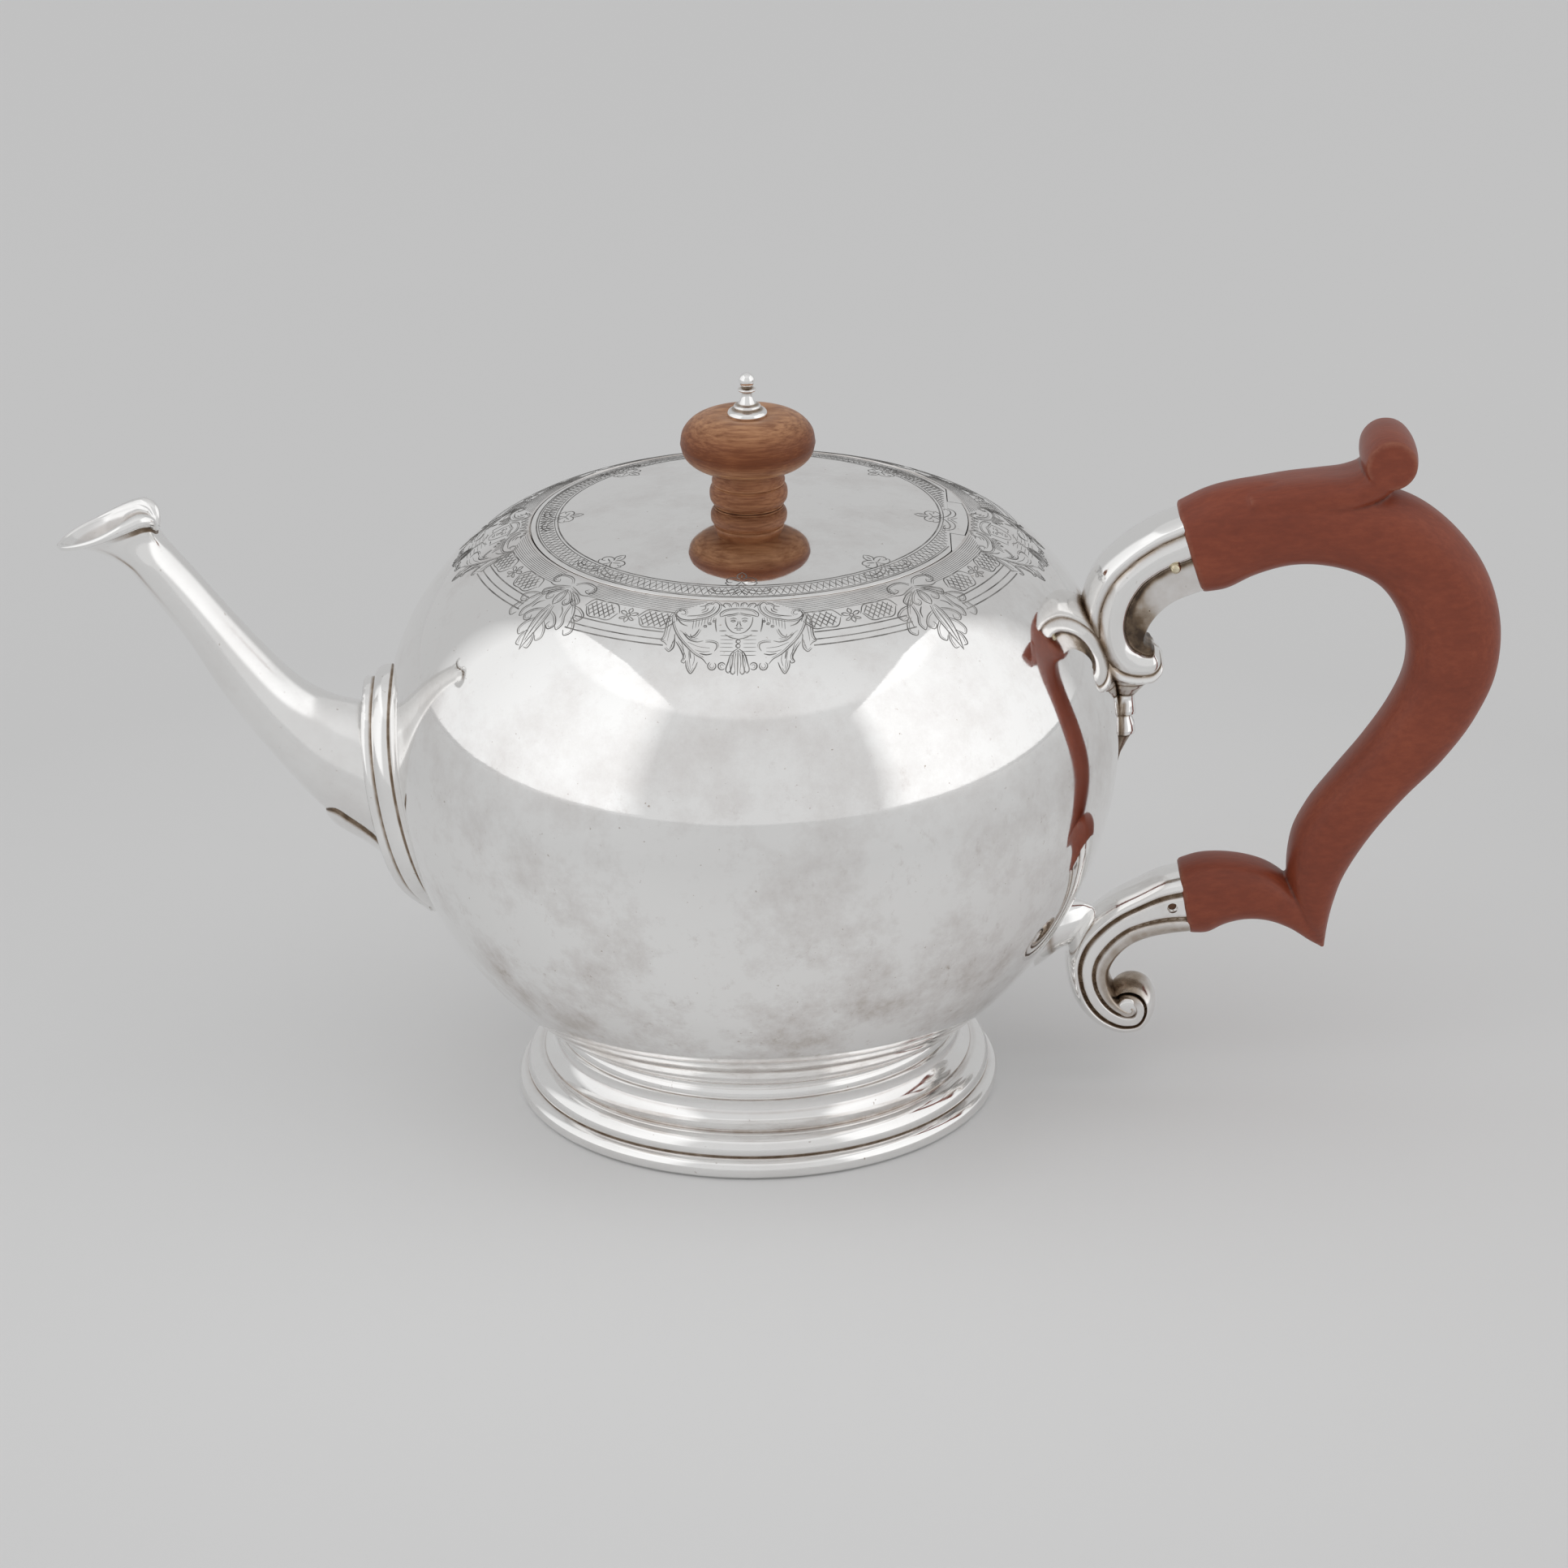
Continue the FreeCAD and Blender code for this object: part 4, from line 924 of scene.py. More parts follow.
def oval_rows(sections, count, square):
    """Rows of a bar with rounded-square sections, with rounded caps at both ends."""
    turn = full_turn(48)
    cosine = signed_power(np.cos(turn), 2 / square)
    sine = signed_power(np.sin(turn), 2 / square)
    rows = []
    for x_out, z_out, x_in, z_in, width in smooth_line(sections, count):
        middle = np.array([x_out + x_in, 0.0, z_out + z_in]) / 2
        arm = np.array([x_out - x_in, 0.0, z_out - z_in]) / 2
        rows.append(middle + cosine[:, None] * arm + sine[:, None] * width * SIDEWAYS)
    caps = []
    for row, inner in ((rows[0], rows[1]), (rows[-1], rows[-2])):
        middle = row.mean(axis=0)
        out = middle - inner.mean(axis=0)
        out /= np.linalg.norm(out)
        shoulder = middle + (row - middle) * 0.945 + out * 0.35
        tip = np.broadcast_to(middle + out * 0.5, row.shape)
        caps.append((tip, shoulder))
    return [*caps[0], *rows, *caps[1][::-1]]


def thumb_rows():
    """The roll under the thumb: a short bar across the handle with softly rounded rims."""
    rim = 0.55
    barrel = arc_to((THUMB_RADIUS, 0.0), (THUMB_RADIUS - THUMB_TAPER, THUMB_HALF - rim), 0.12, 7)
    side = arc((THUMB_RADIUS - THUMB_TAPER - rim, THUMB_HALF - rim), rim, 0, math.pi / 2, 6)
    half = np.vstack([barrel, side[1:], [(0.0, THUMB_HALF)]])
    outline = np.vstack([half[::-1] * (1, -1), half[1:]])
    return turned_across(outline, THUMB_CENTRE, 56)


def joined_by_voxels(name, mesh, size, rounds):
    """One closed skin over overlapping forms, its creases softened a little."""
    holder = bpy.data.objects.new(name, mesh)
    bpy.context.scene.collection.objects.link(holder)
    remesh = holder.modifiers.new("join", "REMESH")
    remesh.mode = "VOXEL"
    remesh.voxel_size = size * MM
    soften = holder.modifiers.new("soften", "SMOOTH")
    soften.iterations = rounds
    soften.factor = 0.5
    graph = bpy.context.evaluated_depsgraph_get()
    made = bpy.data.meshes.new_from_object(holder.evaluated_get(graph))
    bpy.data.objects.remove(holder)
    made.name = name
    return made


def mark_wear(mesh, rounds, start, reach):
    """Marks convex edges, which hands rub paler, and with negative marks the dark creases."""
    points = point_array(mesh)
    normals = mesh_rows(mesh.vertices, "normal", 3)
    edges = mesh_rows(mesh.edges, "vertices", 2, np.int64)
    near = np.bincount(edges.ravel(), minlength=len(points))[:, None]

    def mean_of(values):
        total = np.zeros_like(values)
        np.add.at(total, edges[:, 0], values[edges[:, 1]])
        np.add.at(total, edges[:, 1], values[edges[:, 0]])
        return total / np.maximum(near, 1)

    spread = points.copy()
    for _ in range(rounds):
        spread = mean_of(spread)
    bulge = np.einsum("ij,ij->i", points - spread, normals)
    wear = ramp(bulge, start, reach) - ramp(-bulge, start, reach)
    layer = mesh.attributes.get("tarnish_wear_and_shade") or mesh.attributes.new("tarnish_wear_and_shade", "FLOAT", "POINT")
    layer.data.foreach_set("value", wear.astype(np.float32))


def make_handle():
    """The carved wooden handle: one scrolled bar, its thumb roll and its pointed lower arm."""
    skin = Skin()
    skin.grid(oval_rows(HANDLE_SECTIONS, count=120, square=2.5), closed=True)
    skin.grid(oval_rows(TONGUE_SECTIONS, count=40, square=2.9), closed=True)
    skin.grid(thumb_rows(), closed=True)
    skin.grid(oval_rows(LOWER_ARM_SECTIONS, count=50, square=2.6), closed=True)
    mesh = joined_by_voxels("handle_scroll", mesh_of("handle_forms", skin), size=0.3, rounds=4)
    mark_wear(mesh, rounds=12, start=0.09, reach=0.16)
    dress(mesh, handle_wood, NO_EDGE)
    piece("handle_scroll", mesh, "pot", "handle_wood", "handle")


# Stations of the sockets as (outer x, outer z, inner x, inner z)
UPPER_SOCKET = [
    (66.6, 96.2, 70.5, 83.4), (61.8, 94.0, 66.0, 81.6), (57.4, 91.0, 63.6, 79.6), (54.0, 87.6, 62.2, 77.6),
    (52.2, 84.0, 61.6, 76.0), (51.4, 79.0, 61.5, 75.4), (52.6, 72.6, 61.6, 75.0), (56.0, 68.9, 61.8, 74.8),
    (60.0, 67.9, 62.0, 74.6), (63.0, 68.4, 62.2, 74.5), (64.5, 70.2, 62.4, 74.4), (64.3, 72.3, 62.6, 74.2),
]
LOWER_SOCKET = [
    (67.4, 35.8, 69.2, 25.2), (64.4, 35.0, 65.9, 24.9), (60.6, 33.1, 62.0, 24.1), (56.7, 31.0, 59.4, 22.8),
    (53.2, 28.2, 57.5, 20.8), (50.6, 25.0, 56.5, 18.7), (49.4, 21.4, 56.5, 17.2), (49.6, 17.4, 56.9, 16.0),
    (51.2, 12.7, 57.5, 14.7), (54.4, 9.2, 58.2, 13.6), (58.6, 7.6, 58.9, 12.8), (61.8, 8.3, 59.4, 12.4),
    (63.6, 11.0, 59.6, 12.4), (63.7, 14.0, 59.6, 12.6), (62.4, 16.2, 59.4, 12.8), (60.4, 17.0, 59.2, 12.9),
    (58.4, 16.7, 59.0, 12.9), (56.9, 15.5, 58.8, 12.9), (56.2, 13.8, 58.6, 12.8),
]
UPPER_PIN = (65.9, 87.9)
LOWER_PIN = (66.1, 30.4)
COIL_EYE = (59.2, 12.9)
# Radius of the bellflower drop as (place along it, radius)
DROP_RADII = [
    (0.0, 3.7), (0.05, 3.5), (0.058, 2.75), (0.11, 2.6), (0.19, 1.9), (0.21, 1.6), (0.26, 1.8),
    (0.32, 2.15), (0.38, 2.4), (0.41, 2.38), (0.425, 1.55), (0.46, 1.75), (0.53, 2.3), (0.59, 2.6),
    (0.625, 2.55), (0.64, 2.0), (0.74, 1.25), (0.86, 0.5), (1.0, 0.12),
]


def band(skin, stations, count, profile, dirt_and_shade):
    """A cast band between two outlines. profile gives its half thickness at (along, across)."""
    run = smooth_line(stations, count)
    along = np.linspace(0, 1, count)
    near_edge = np.linspace(0, 0.1, 10) ** 2 / 0.1
    across = np.concatenate([near_edge, np.linspace(0.11, 0.89, 62), 1 - near_edge[::-1]])
    rows = []
    marks = []
    for place, (x_out, z_out, x_in, z_in) in zip(along, run):
        outer = np.array([x_out, 0.0, z_out])
        inner = np.array([x_in, 0.0, z_in])
        line = outer + across[:, None] * (inner - outer)
        half = profile(place, across)[:, None] * SIDEWAYS
        rows.append(np.vstack([line - half, (line + half)[-2:0:-1]]))
        mark = dirt_and_shade(place, across)
        marks.append(np.concatenate([mark, mark[-2:0:-1]]))
    skin.bar(rows, np.array(marks))


def rounded(across, outer_edge, inner_edge):
    """How full a section is near its two edges: 0 on the edge, 1 within."""
    low = ramp(across, 0.0, outer_edge)
    high = ramp(1 - across, 0.0, inner_edge)
    return np.sqrt(1 - (1 - low) ** 2) * np.sqrt(1 - (1 - high) ** 2)


def upper_lines(place):
    """Where the groove between the reeds and the step to the panel lie across the upper band."""
    groove = 0.215 + 0.10 * place
    step = 0.54 + 0.26 * ramp(place, 0.25, 0.5)
    return groove, step


def upper_profile(place, across):
    """Two rounded reeds along the outer edge, then a sunk panel inside them."""
    groove, step = upper_lines(place)
    first = 5.0 - 0.5 * ramp(across, 0.5 * groove, 0.5 * groove) ** 2
    second = 5.1 - 0.75 * ((across - (groove + step) / 2) / ((step - groove) / 2)) ** 2
    reeds = np.where(across < groove, first, np.maximum(second, 4.3))
    sink = 1 / (1 + np.exp(-(across - step) / 0.012))
    lip = 0.25 * bump_at(across, 0.965, 0.02)
    full = reeds * (1 - sink) + (3.55 + lip) * sink
    end = np.sqrt(np.clip(1 - ramp(place, 0.9, 0.1) ** 2, 0.02, 1))
    return full * rounded(across, 0.19, 0.06) * end + 0.02


def upper_dirt_and_shade(place, across):
    """Painted shade and tarnish of the upper band: painted shade in its groove and below its step, tarnish
    in its pocket and over its panel.
    """
    groove, step = upper_lines(place)
    panel = across > step + 0.02
    pocket = 0.75 * ramp(place, 0.22, 0.22) * panel
    shade = 0.6 * bump_at(across, groove, 0.04) + 0.75 * bump_at(across, step + 0.03, 0.05)
    return np.clip(shade + pocket + 0.2 * panel, 0, 1)


def lower_lines(place):
    """How far the lower band has coiled, and where its groove and its inner lip lie across it."""
    coil = ramp(place, 0.5, 0.4)
    groove = 0.30 + 0.16 * coil
    lip = 0.70 - 0.09 * ramp(place, 0.0, 0.2) + 0.25 * coil
    return coil, groove, lip


def lower_profile(place, across):
    """A rounded back, a flat band between two grooves, and a thin inner lip."""
    coil, groove, lip = lower_lines(place)
    full = 4.55 + 0.15 * np.sin(math.pi * ramp(across, 0.0, groove))
    full = full - 0.8 * bump_at(across, groove, 0.04) - 0.75 * bump_at(across, lip, 0.036)
    end = 1 - 0.5 * ramp(place, 0.84, 0.16) ** 2
    return full * rounded(across, 0.26 + 0.42 * coil ** 2, 0.20 - 0.19 * coil) * end + 0.02


def lower_dirt_and_shade(place, across):
    """Painted shade and tarnish of the lower band: in its two grooves, inside its lip and at the end of its
    coil.
    """
    _, groove, lip = lower_lines(place)
    inner = 0.42 * ramp(across, lip, 0.15) + 0.6 * ramp(place, 0.84, 0.08)
    grooves = 0.68 * bump_at(across, groove, 0.045) + 0.62 * bump_at(across, lip, 0.042)
    return np.clip(grooves + inner, 0, 1)


def soldered_piece(name, mesh, node, width, strength):
    """A cast piece that is soldered to the body, browned along the joint."""
    brown_solder(mesh, width, strength)
    dress(mesh, silver_cast, CAST_EDGE)
    piece(name, mesh, "pot", "silver", node)


def make_sockets():
    """The two cast sockets that hold the handle, each a band that curls at its end."""
    upper = Skin()
    band(upper, UPPER_SOCKET, 150, upper_profile, upper_dirt_and_shade)
    mesh = mesh_of("upper_socket_cast", upper)
    soldered_piece("upper_socket_cast", mesh, "upper_socket", width=0.75, strength=0.68)
    lower = Skin()
    band(lower, LOWER_SOCKET, 200, lower_profile, lower_dirt_and_shade)
    add_coil_eye(lower)
    add_socket_neck(lower)
    mesh = mesh_of("lower_socket_cast", lower)
    pierce_pin_hole(mesh)
    soldered_piece("lower_socket_cast", mesh, "lower_socket", width=0.6, strength=0.6)


def add_coil_eye(skin):
    """The round button in the middle of the lower socket's coil."""
    half = smooth_line([(0.0, 4.5), (0.9, 4.45), (1.6, 4.2), (1.75, 3.6), (1.75, 0.0)], 16)
    outline = np.vstack([half, half[-2::-1] * (1, -1)])
    dark_rim = 0.7 * bump_at(outline[:, 0], 1.7, 0.12)[:, None]
    skin.grid(turned_across(outline, COIL_EYE, 32), closed=True, tarnish_wear_and_shade=dark_rim)


def pierce_pin_hole(mesh):
    """Sinks the ends of the lower pin below the socket's sides."""
    hole_radius = 0.85
    cutters = Skin()
    for side in (-1, 1):
        ends = [(hole_radius, side * across) for across in (3.6, 7.0)]
        cutters.bar(turned_across(ends, LOWER_PIN, 28))
    cut_away(mesh, cutters)


def add_socket_neck(skin):
    """The hollow-sided neck between the lower socket and the body."""
    turn = full_turn(48)
    waist = smooth_line([(43.0, 6.4, 6.8), (46.0, 4.9, 5.1), (48.5, 3.8, 4.1),
                         (50.5, 3.0, 3.7), (52.5, 2.0, 3.2), (54.0, 1.0, 2.2)], 26)
    rows = []
    for x, wide, tall in waist:
        lean = 1.6 * ramp(x, 49.5, -5.0)
        height = 26.0 + 0.06 * (x - 43.0) + tall * np.sin(turn)
        rows.append(np.column_stack([x - lean * np.sin(turn), wide * np.cos(turn), height]))
    # Painted shade where the neck meets the socket
    skin.bar(rows, 0.5 * bump_at(waist[:, 0], 46.4, 0.7)[:, None])


def make_drop():
    """The bellflower drop below the upper socket: a stepped collar, a neck and a two-lobed bud."""
    count = 140
    line = smooth_line([(59.6, 0.0, 68.6), (58.4, 0.0, 65.0), (57.9, 0.0, 60.0), (57.2, 0.0, 53.4)], count)
    along = np.linspace(0, 1, count)
    grow = np.interp(along, *zip(*DROP_RADII))
    petal = ramp(along, 0.24, 0.06) * ramp(along, 0.66, -0.04)
    # Painted shade in the steps and petal folds, a painted shadow over the tip below the bud, and a darker
    # collar
    dark = 0.8 * bump_at(along, 0.055, 0.012) + 0.8 * bump_at(along, 0.2, 0.015)
    dark += 0.85 * bump_at(along, 0.425, 0.015)
    dark += 0.85 * bump_at(along, 0.64, 0.014) + 0.65 * ramp(along, 0.64, 0.02) + 0.35 * (along < 0.2)
    turn = full_turn(48)
    fold = np.abs(np.cos(2 * turn)) ** 10
    rows = []
    marks = []
    for centre, radius, leaf, shade in zip(line, grow, petal, dark):
        reach = radius * (1 - 0.16 * leaf * fold)
        ring = np.column_stack([0.95 * reach * np.cos(turn), reach * np.sin(turn), np.zeros(48)])
        rows.append(centre + ring)
        marks.append(np.clip(shade + 0.7 * leaf * fold, 0, 1))
    skin = Skin()
    skin.bar(rows, np.array(marks))
    mesh = mesh_of("bellflower_drop", skin)
    soldered_piece("bellflower_drop", mesh, "upper_socket_drop", width=0.5, strength=0.9)


def make_pins():
    """The cross pins of the handle: a domed head above, a sunk end below."""
    head = [(0.0, 5.25), (0.45, 5.15), (0.78, 4.85), (0.92, 4.4), (0.8, 3.9), (0.8, 0.0)]
    sunk = [(0.0, 3.75), (0.45, 3.72), (0.62, 3.62), (0.8, 3.55), (0.8, 0.0)]
    for name, node, half, centre, dirt_and_shade in (("upper_cross_pin", "upper_pin", head, UPPER_PIN, 0.0),
                                           ("lower_cross_pin", "lower_pin", sunk, LOWER_PIN, 0.6)):
        outline = [(radius, -across) for radius, across in half] + half[-2::-1]
        skin = Skin()
        skin.grid(turned_across(outline, centre, 32), closed=True, tarnish_wear_and_shade=dirt_and_shade)
        skin_piece(name, skin, pin_metal, CAST_EDGE, "pot", "pin_metal", node)


def on_shoulder(turn, across, down):
    """Points and normals on the shoulder: across along the circle, down along the outline from the rim."""
    across = np.asarray(across, float)
    down = np.asarray(down, float)
    on_arc = np.minimum(down, SHOULDER_RUN)
    lean = RIM_TURN - on_arc / SHOULDER_ARC - (down - on_arc) / UPPER_ARC
    below = down > SHOULDER_RUN
    arc_radius = np.where(below, UPPER_ARC, SHOULDER_ARC)
    radius = np.where(below, UPPER_X, SHOULDER_X) + arc_radius * np.cos(lean)
    height = np.where(below, BELLY_HEIGHT, SHOULDER_Z) + arc_radius * np.sin(lean)
    angle = turn + across / radius
    points = np.column_stack([radius * np.sin(angle), -radius * np.cos(angle), height])
    normals = np.column_stack([np.cos(lean) * np.sin(angle), -np.cos(lean) * np.cos(angle), np.sin(lean)])
    return points, normals


def on_lid(turn, across, inward):
    """Points and normals on the lid: across along the circle, inward from the inner border line."""
    radius = LID_BORDER - np.asarray(inward, float)
    angle = turn + np.asarray(across, float) / radius
    points = np.column_stack([radius * np.sin(angle), -radius * np.cos(angle), dome_height(radius)])
    lean = radius / DOME_ARC
    normals = np.column_stack([lean * np.sin(angle), -lean * np.cos(angle), np.sqrt(1 - lean ** 2)])
    return points, normals


def ribbon(skin, points, normals, half):
    """A thin ridged ribbon along points of a surface, with half its width at each of them."""
    side = unit(np.cross(normals, np.gradient(points, axis=0))) * half
    low = normals * CUT_EDGE
    skin.grid([points - side + low, points + normals * CUT_CREST, points + side + low])


def engrave(skin, place, turn, line, width=LINE_WIDTH):
    """One engraved stroke through a line's points, tapered at both ends."""
    line = np.asarray(line, float)
    length = np.linalg.norm(np.diff(line, axis=0), axis=1).sum()
    count = max(5, int(length / 0.32) + 2)
    run = smooth_line(line, count)
    points, normals = place(turn, run[:, 0], run[:, 1])
    taper = 0.35 + 0.65 * np.sin(math.pi * np.linspace(0, 1, count)) ** 0.5
    ribbon(skin, points, normals, 0.5 * width * taper[:, None])


def mirrored(skin, place, turn, strokes, width=LINE_WIDTH):
    """Half an ornament's strokes and their mirror images."""
    for stroke in strokes:
        engrave(skin, place, turn, stroke, width)
        if max(abs(point[0]) for point in stroke) > 0.02:
            engrave(skin, place, turn, [(-across, down) for across, down in stroke], width)


def scaled(strokes, wide, tall):
    """Strokes stretched across and down."""
    return [[(wide * across, tall * down) for across, down in stroke] for stroke in strokes]


def shading(strokes, gap):
    """The faint second cuts that follow the longer strokes at a small distance."""
    lines = []
    for stroke in strokes:
        if len(stroke) > 3:
            points = np.asarray(stroke, float)
            ahead = unit(np.gradient(points, axis=0))
            aside = np.column_stack([-ahead[:, 1], ahead[:, 0]])
            lines.append((points + gap * aside)[:-1].tolist())
    return lines


def loop(across, down, wide, tall, start=0.0, sweep=360.0):
    """A small oval or part of one, as stroke points."""
    turns = np.radians(np.linspace(start, start + sweep, 9))
    return [(across + wide * math.cos(turn), down + tall * math.sin(turn)) for turn in turns]


# Strokes of one half of each ornament as (across from its middle, down or inward) points
SCROLL_STROKES = [
    [(4.06, 1.03), (3.63, 0.44), (3.12, 0.85), (3.06, 1.8), (3.63, 3.0), (4.7, 3.9), (6.2, 4.44), (7.7, 4.8),
     (8.97, 4.54), (9.53, 3.7), (9.19, 3.0), (8.55, 2.77), (8.08, 3.15), (8.33, 3.7), (8.8, 3.6)],
    [(3.8, 1.4), (4.1, 2.3), (5.13, 3.26), (6.4, 3.72), (7.9, 3.97)],
    [(4.06, 0.6), (4.8, 0.85), (5.2, 1.4), (6.0, 1.67)],
    [(4.7, 1.92), (4.9, 2.56), (5.66, 3.0)],
    [(5.2, 1.4), (5.1, 2.05), (5.77, 2.56)],
    [(0.17, 1.4), (0.32, 0.6), (0.85, 0.44), (1.18, 1.03)],
    [(1.18, 1.54), (1.6, 0.7), (2.24, 0.6), (2.46, 1.15)],
    [(2.14, 1.67), (2.67, 1.03), (3.0, 1.03)],
    [(0.0, 1.8), (1.18, 1.92), (2.35, 2.44), (2.9, 3.26), (2.78, 3.77)],
    [(0.1, 2.8), (0.85, 3.15), (1.92, 3.4), (2.78, 3.77)],
    [(3.46, 4.1), (3.5, 5.26), (3.3, 6.85)],
    [(1.8, 6.6), (2.9, 6.67)],
    [(2.03, 7.3), (1.18, 7.87), (0.0, 8.2)],
    [(5.9, 6.4), (6.2, 7.1), (6.7, 7.8), (7.1, 8.0), (7.2, 7.5)],
    [(7.7, 6.0), (8.5, 5.7), (9.4, 4.6)],
    [(0.05, 9.9), (0.85, 10.6), (1.4, 12.2), (1.6, 13.9), (1.35, 14.1), (1.15, 13.7)],
    [(0.6, 10.4), (0.8, 12.5), (0.85, 14.2), (0.6, 14.3), (0.45, 13.8)],
    [(0.0, 10.2), (0.0, 13.0), (0.0, 14.5)],
    [(10.0, 3.7), (10.1, 5.26), (9.7, 6.85), (8.97, 8.33), (7.7, 9.9), (6.4, 11.15), (5.24, 11.87),
     (4.6, 12.7)],
    [(10.15, 3.5), (10.85, 5.0), (11.07, 6.54), (11.37, 8.33), (11.7, 9.15), (11.2, 9.4), (10.8, 9.87)],
    [(11.1, 10.4), (10.5, 10.95), (9.87, 10.4), (9.6, 9.1), (9.66, 7.8)],
    [(9.4, 9.1), (8.65, 10.4), (8.2, 11.9), (8.5, 12.5), (8.0, 12.7), (7.8, 12.2)],
    [(7.8, 12.2), (7.65, 13.46), (7.05, 14.36), (6.4, 13.46), (6.0, 12.4)],
    [(7.26, 10.5), (7.05, 11.9)],
    [(8.33, 7.44), (7.26, 8.6), (6.2, 8.9), (5.24, 8.64)],
    [(4.9, 8.85), (4.06, 8.8), (3.25, 9.1), (3.16, 9.74), (3.5, 10.4)],
    [(3.85, 10.9), (4.7, 11.1), (5.77, 10.9)],
    loop(2.35, 12.95, 0.55, 0.6, 200, 300),
    loop(3.85, 12.95, 0.62, 0.68, -60, 290),
    loop(3.75, 4.75, 0.24, 0.2),
    loop(4.4, 5.3, 0.28, 0.22),
    loop(5.05, 5.85, 0.28, 0.22),
]
# Fine veins of the leaves
VEIN_STROKES = [
    [(9.95, 5.2), (10.45, 7.2), (10.75, 9.2)],
    [(9.5, 7.4), (9.75, 9.0), (10.3, 10.3)],
    [(8.6, 8.9), (8.15, 10.6), (8.1, 12.1)],
    [(7.5, 10.2), (7.25, 12.0), (7.05, 13.7)],
    [(6.6, 11.0), (6.5, 12.1), (6.8, 13.2)],
    [(8.9, 6.9), (7.6, 7.9), (6.0, 8.3)],
    [(7.6, 9.0), (6.0, 9.7), (4.2, 9.9)],
    [(6.5, 10.3), (5.4, 10.6), (4.2, 10.5)],
    [(0.25, 10.7), (0.45, 12.2), (0.4, 13.4)],
]
# Folds of the hanging cloth on each side of the mask
CLOTH_FOLDS = 8
# A calm mask on plain drawing-book proportions: eyes half way down, mouth a third below the nose
MASK_STROKES = [
    [(2.05, 3.7), (1.98, 4.9), (1.5, 6.2), (0.7, 6.98), (0.0, 7.12)],
    [(0.36, 4.2), (0.85, 4.0), (1.35, 4.22)],
    [(0.45, 4.62), (0.85, 4.42), (1.28, 4.62)],
    [(0.5, 4.66), (0.86, 4.78), (1.22, 4.66)],
    [(0.16, 4.6), (0.2, 5.3), (0.38, 5.62), (0.1, 5.72)],
    [(0.0, 6.12), (0.3, 6.06), (0.66, 6.14)],
    [(0.0, 6.42), (0.36, 6.38)],
]
SPRAY_STROKES = [
    [(0.2, 1.7), (0.9, 0.9), (2.2, 0.75), (3.3, 1.3), (3.55, 2.2), (2.9, 2.65), (2.3, 2.25), (2.6, 1.85)],
    [(0.15, 2.3), (1.2, 2.7), (2.4, 3.2), (3.5, 3.0)],
    [(0.0, 3.0), (0.55, 4.4), (0.42, 5.6), (0.0, 6.2)],
    [(0.35, 3.1), (1.4, 3.9), (2.0, 5.2), (1.5, 5.75), (0.95, 5.2), (1.1, 4.6)],
    [(0.7, 3.0), (2.2, 3.6), (3.15, 4.7), (2.75, 5.35), (2.1, 4.9), (2.3, 4.3)],
    [(0.35, 6.3), (0.75, 8.2), (0.62, 10.6), (0.0, 14.1)],
    [(0.75, 7.2), (1.9, 7.9), (2.65, 9.3), (2.1, 9.95), (1.45, 9.4), (1.6, 8.8)],
    [(0.8, 9.0), (1.75, 10.1), (2.05, 11.6), (1.5, 12.1), (0.95, 11.4)],
    [(0.6, 11.0), (1.1, 12.3), (0.95, 13.5), (0.35, 13.5)],
    [(0.0, 7.0), (0.0, 12.6)],
    [(0.95, 3.2), (2.6, 4.7), (3.9, 6.6), (4.5, 9.0)],
    [(2.9, 5.2), (4.3, 5.6), (5.4, 6.8), (5.05, 7.55), (4.25, 7.2), (4.5, 6.7)],
    [(4.0, 7.0), (5.1, 8.2), (5.45, 9.6), (4.8, 10.15), (4.2, 9.4)],
    [(2.6, 5.4), (2.95, 7.2), (3.6, 8.8), (3.3, 9.7), (2.75, 9.2)],
    [(1.5, 6.0), (2.2, 6.8), (2.5, 7.8)],
]
FLOWER_STROKES = [
    loop(0.0, 5.2, 0.34, 0.3),
    [(0.3, 5.0), (0.9, 4.55), (1.45, 4.7), (1.05, 5.15), (0.4, 5.25)],
    [(0.25, 5.45), (0.7, 5.7), (1.25, 6.1), (0.75, 6.2), (0.2, 5.6)],
    [(0.0, 4.85), (0.34, 4.3), (0.0, 3.7)],
    [(0.0, 5.55), (0.34, 6.1), (0.0, 6.75)],
]
PALMETTE_STROKES = [
    [(0.0, 3.9), (0.6, 3.2), (0.65, 2.4), (0.2, 1.9)],
    [(0.0, 3.2), (0.0, 2.2)],
    [(0.15, 1.7), (0.6, 2.15), (1.5, 2.25), (2.25, 1.6), (1.95, 0.8), (1.35, 1.0)],
    [(0.3, 1.1), (0.9, 1.35), (1.4, 1.6)],
    [(0.0, 1.2), (0.5, 0.3), (1.2, -0.2), (2.0, 0.1), (2.4, 0.75), (2.0, 1.0)],
    [(0.0, 0.2), (0.6, -0.8), (1.7, -1.45), (3.0, -1.85), (4.2, -1.6), (4.45, -1.0), (3.75, -0.9)],
    [(0.2, -1.2), (1.2, -2.1), (2.8, -2.6), (4.3, -2.3), (4.95, -1.6)],
    [(0.0, -1.7), (0.5, -2.2), (1.1, -2.75)],
]


def ring_line(skin, place, start, end, level, width):
    """A stroke round the pot between two angles, at one level."""
    count = max(6, int((end - start) * 60))
    turns = np.linspace(start, end, count)
    points, normals = place(turns, np.zeros(count), np.full(count, level))
    ribbon(skin, points, normals, width / 2)


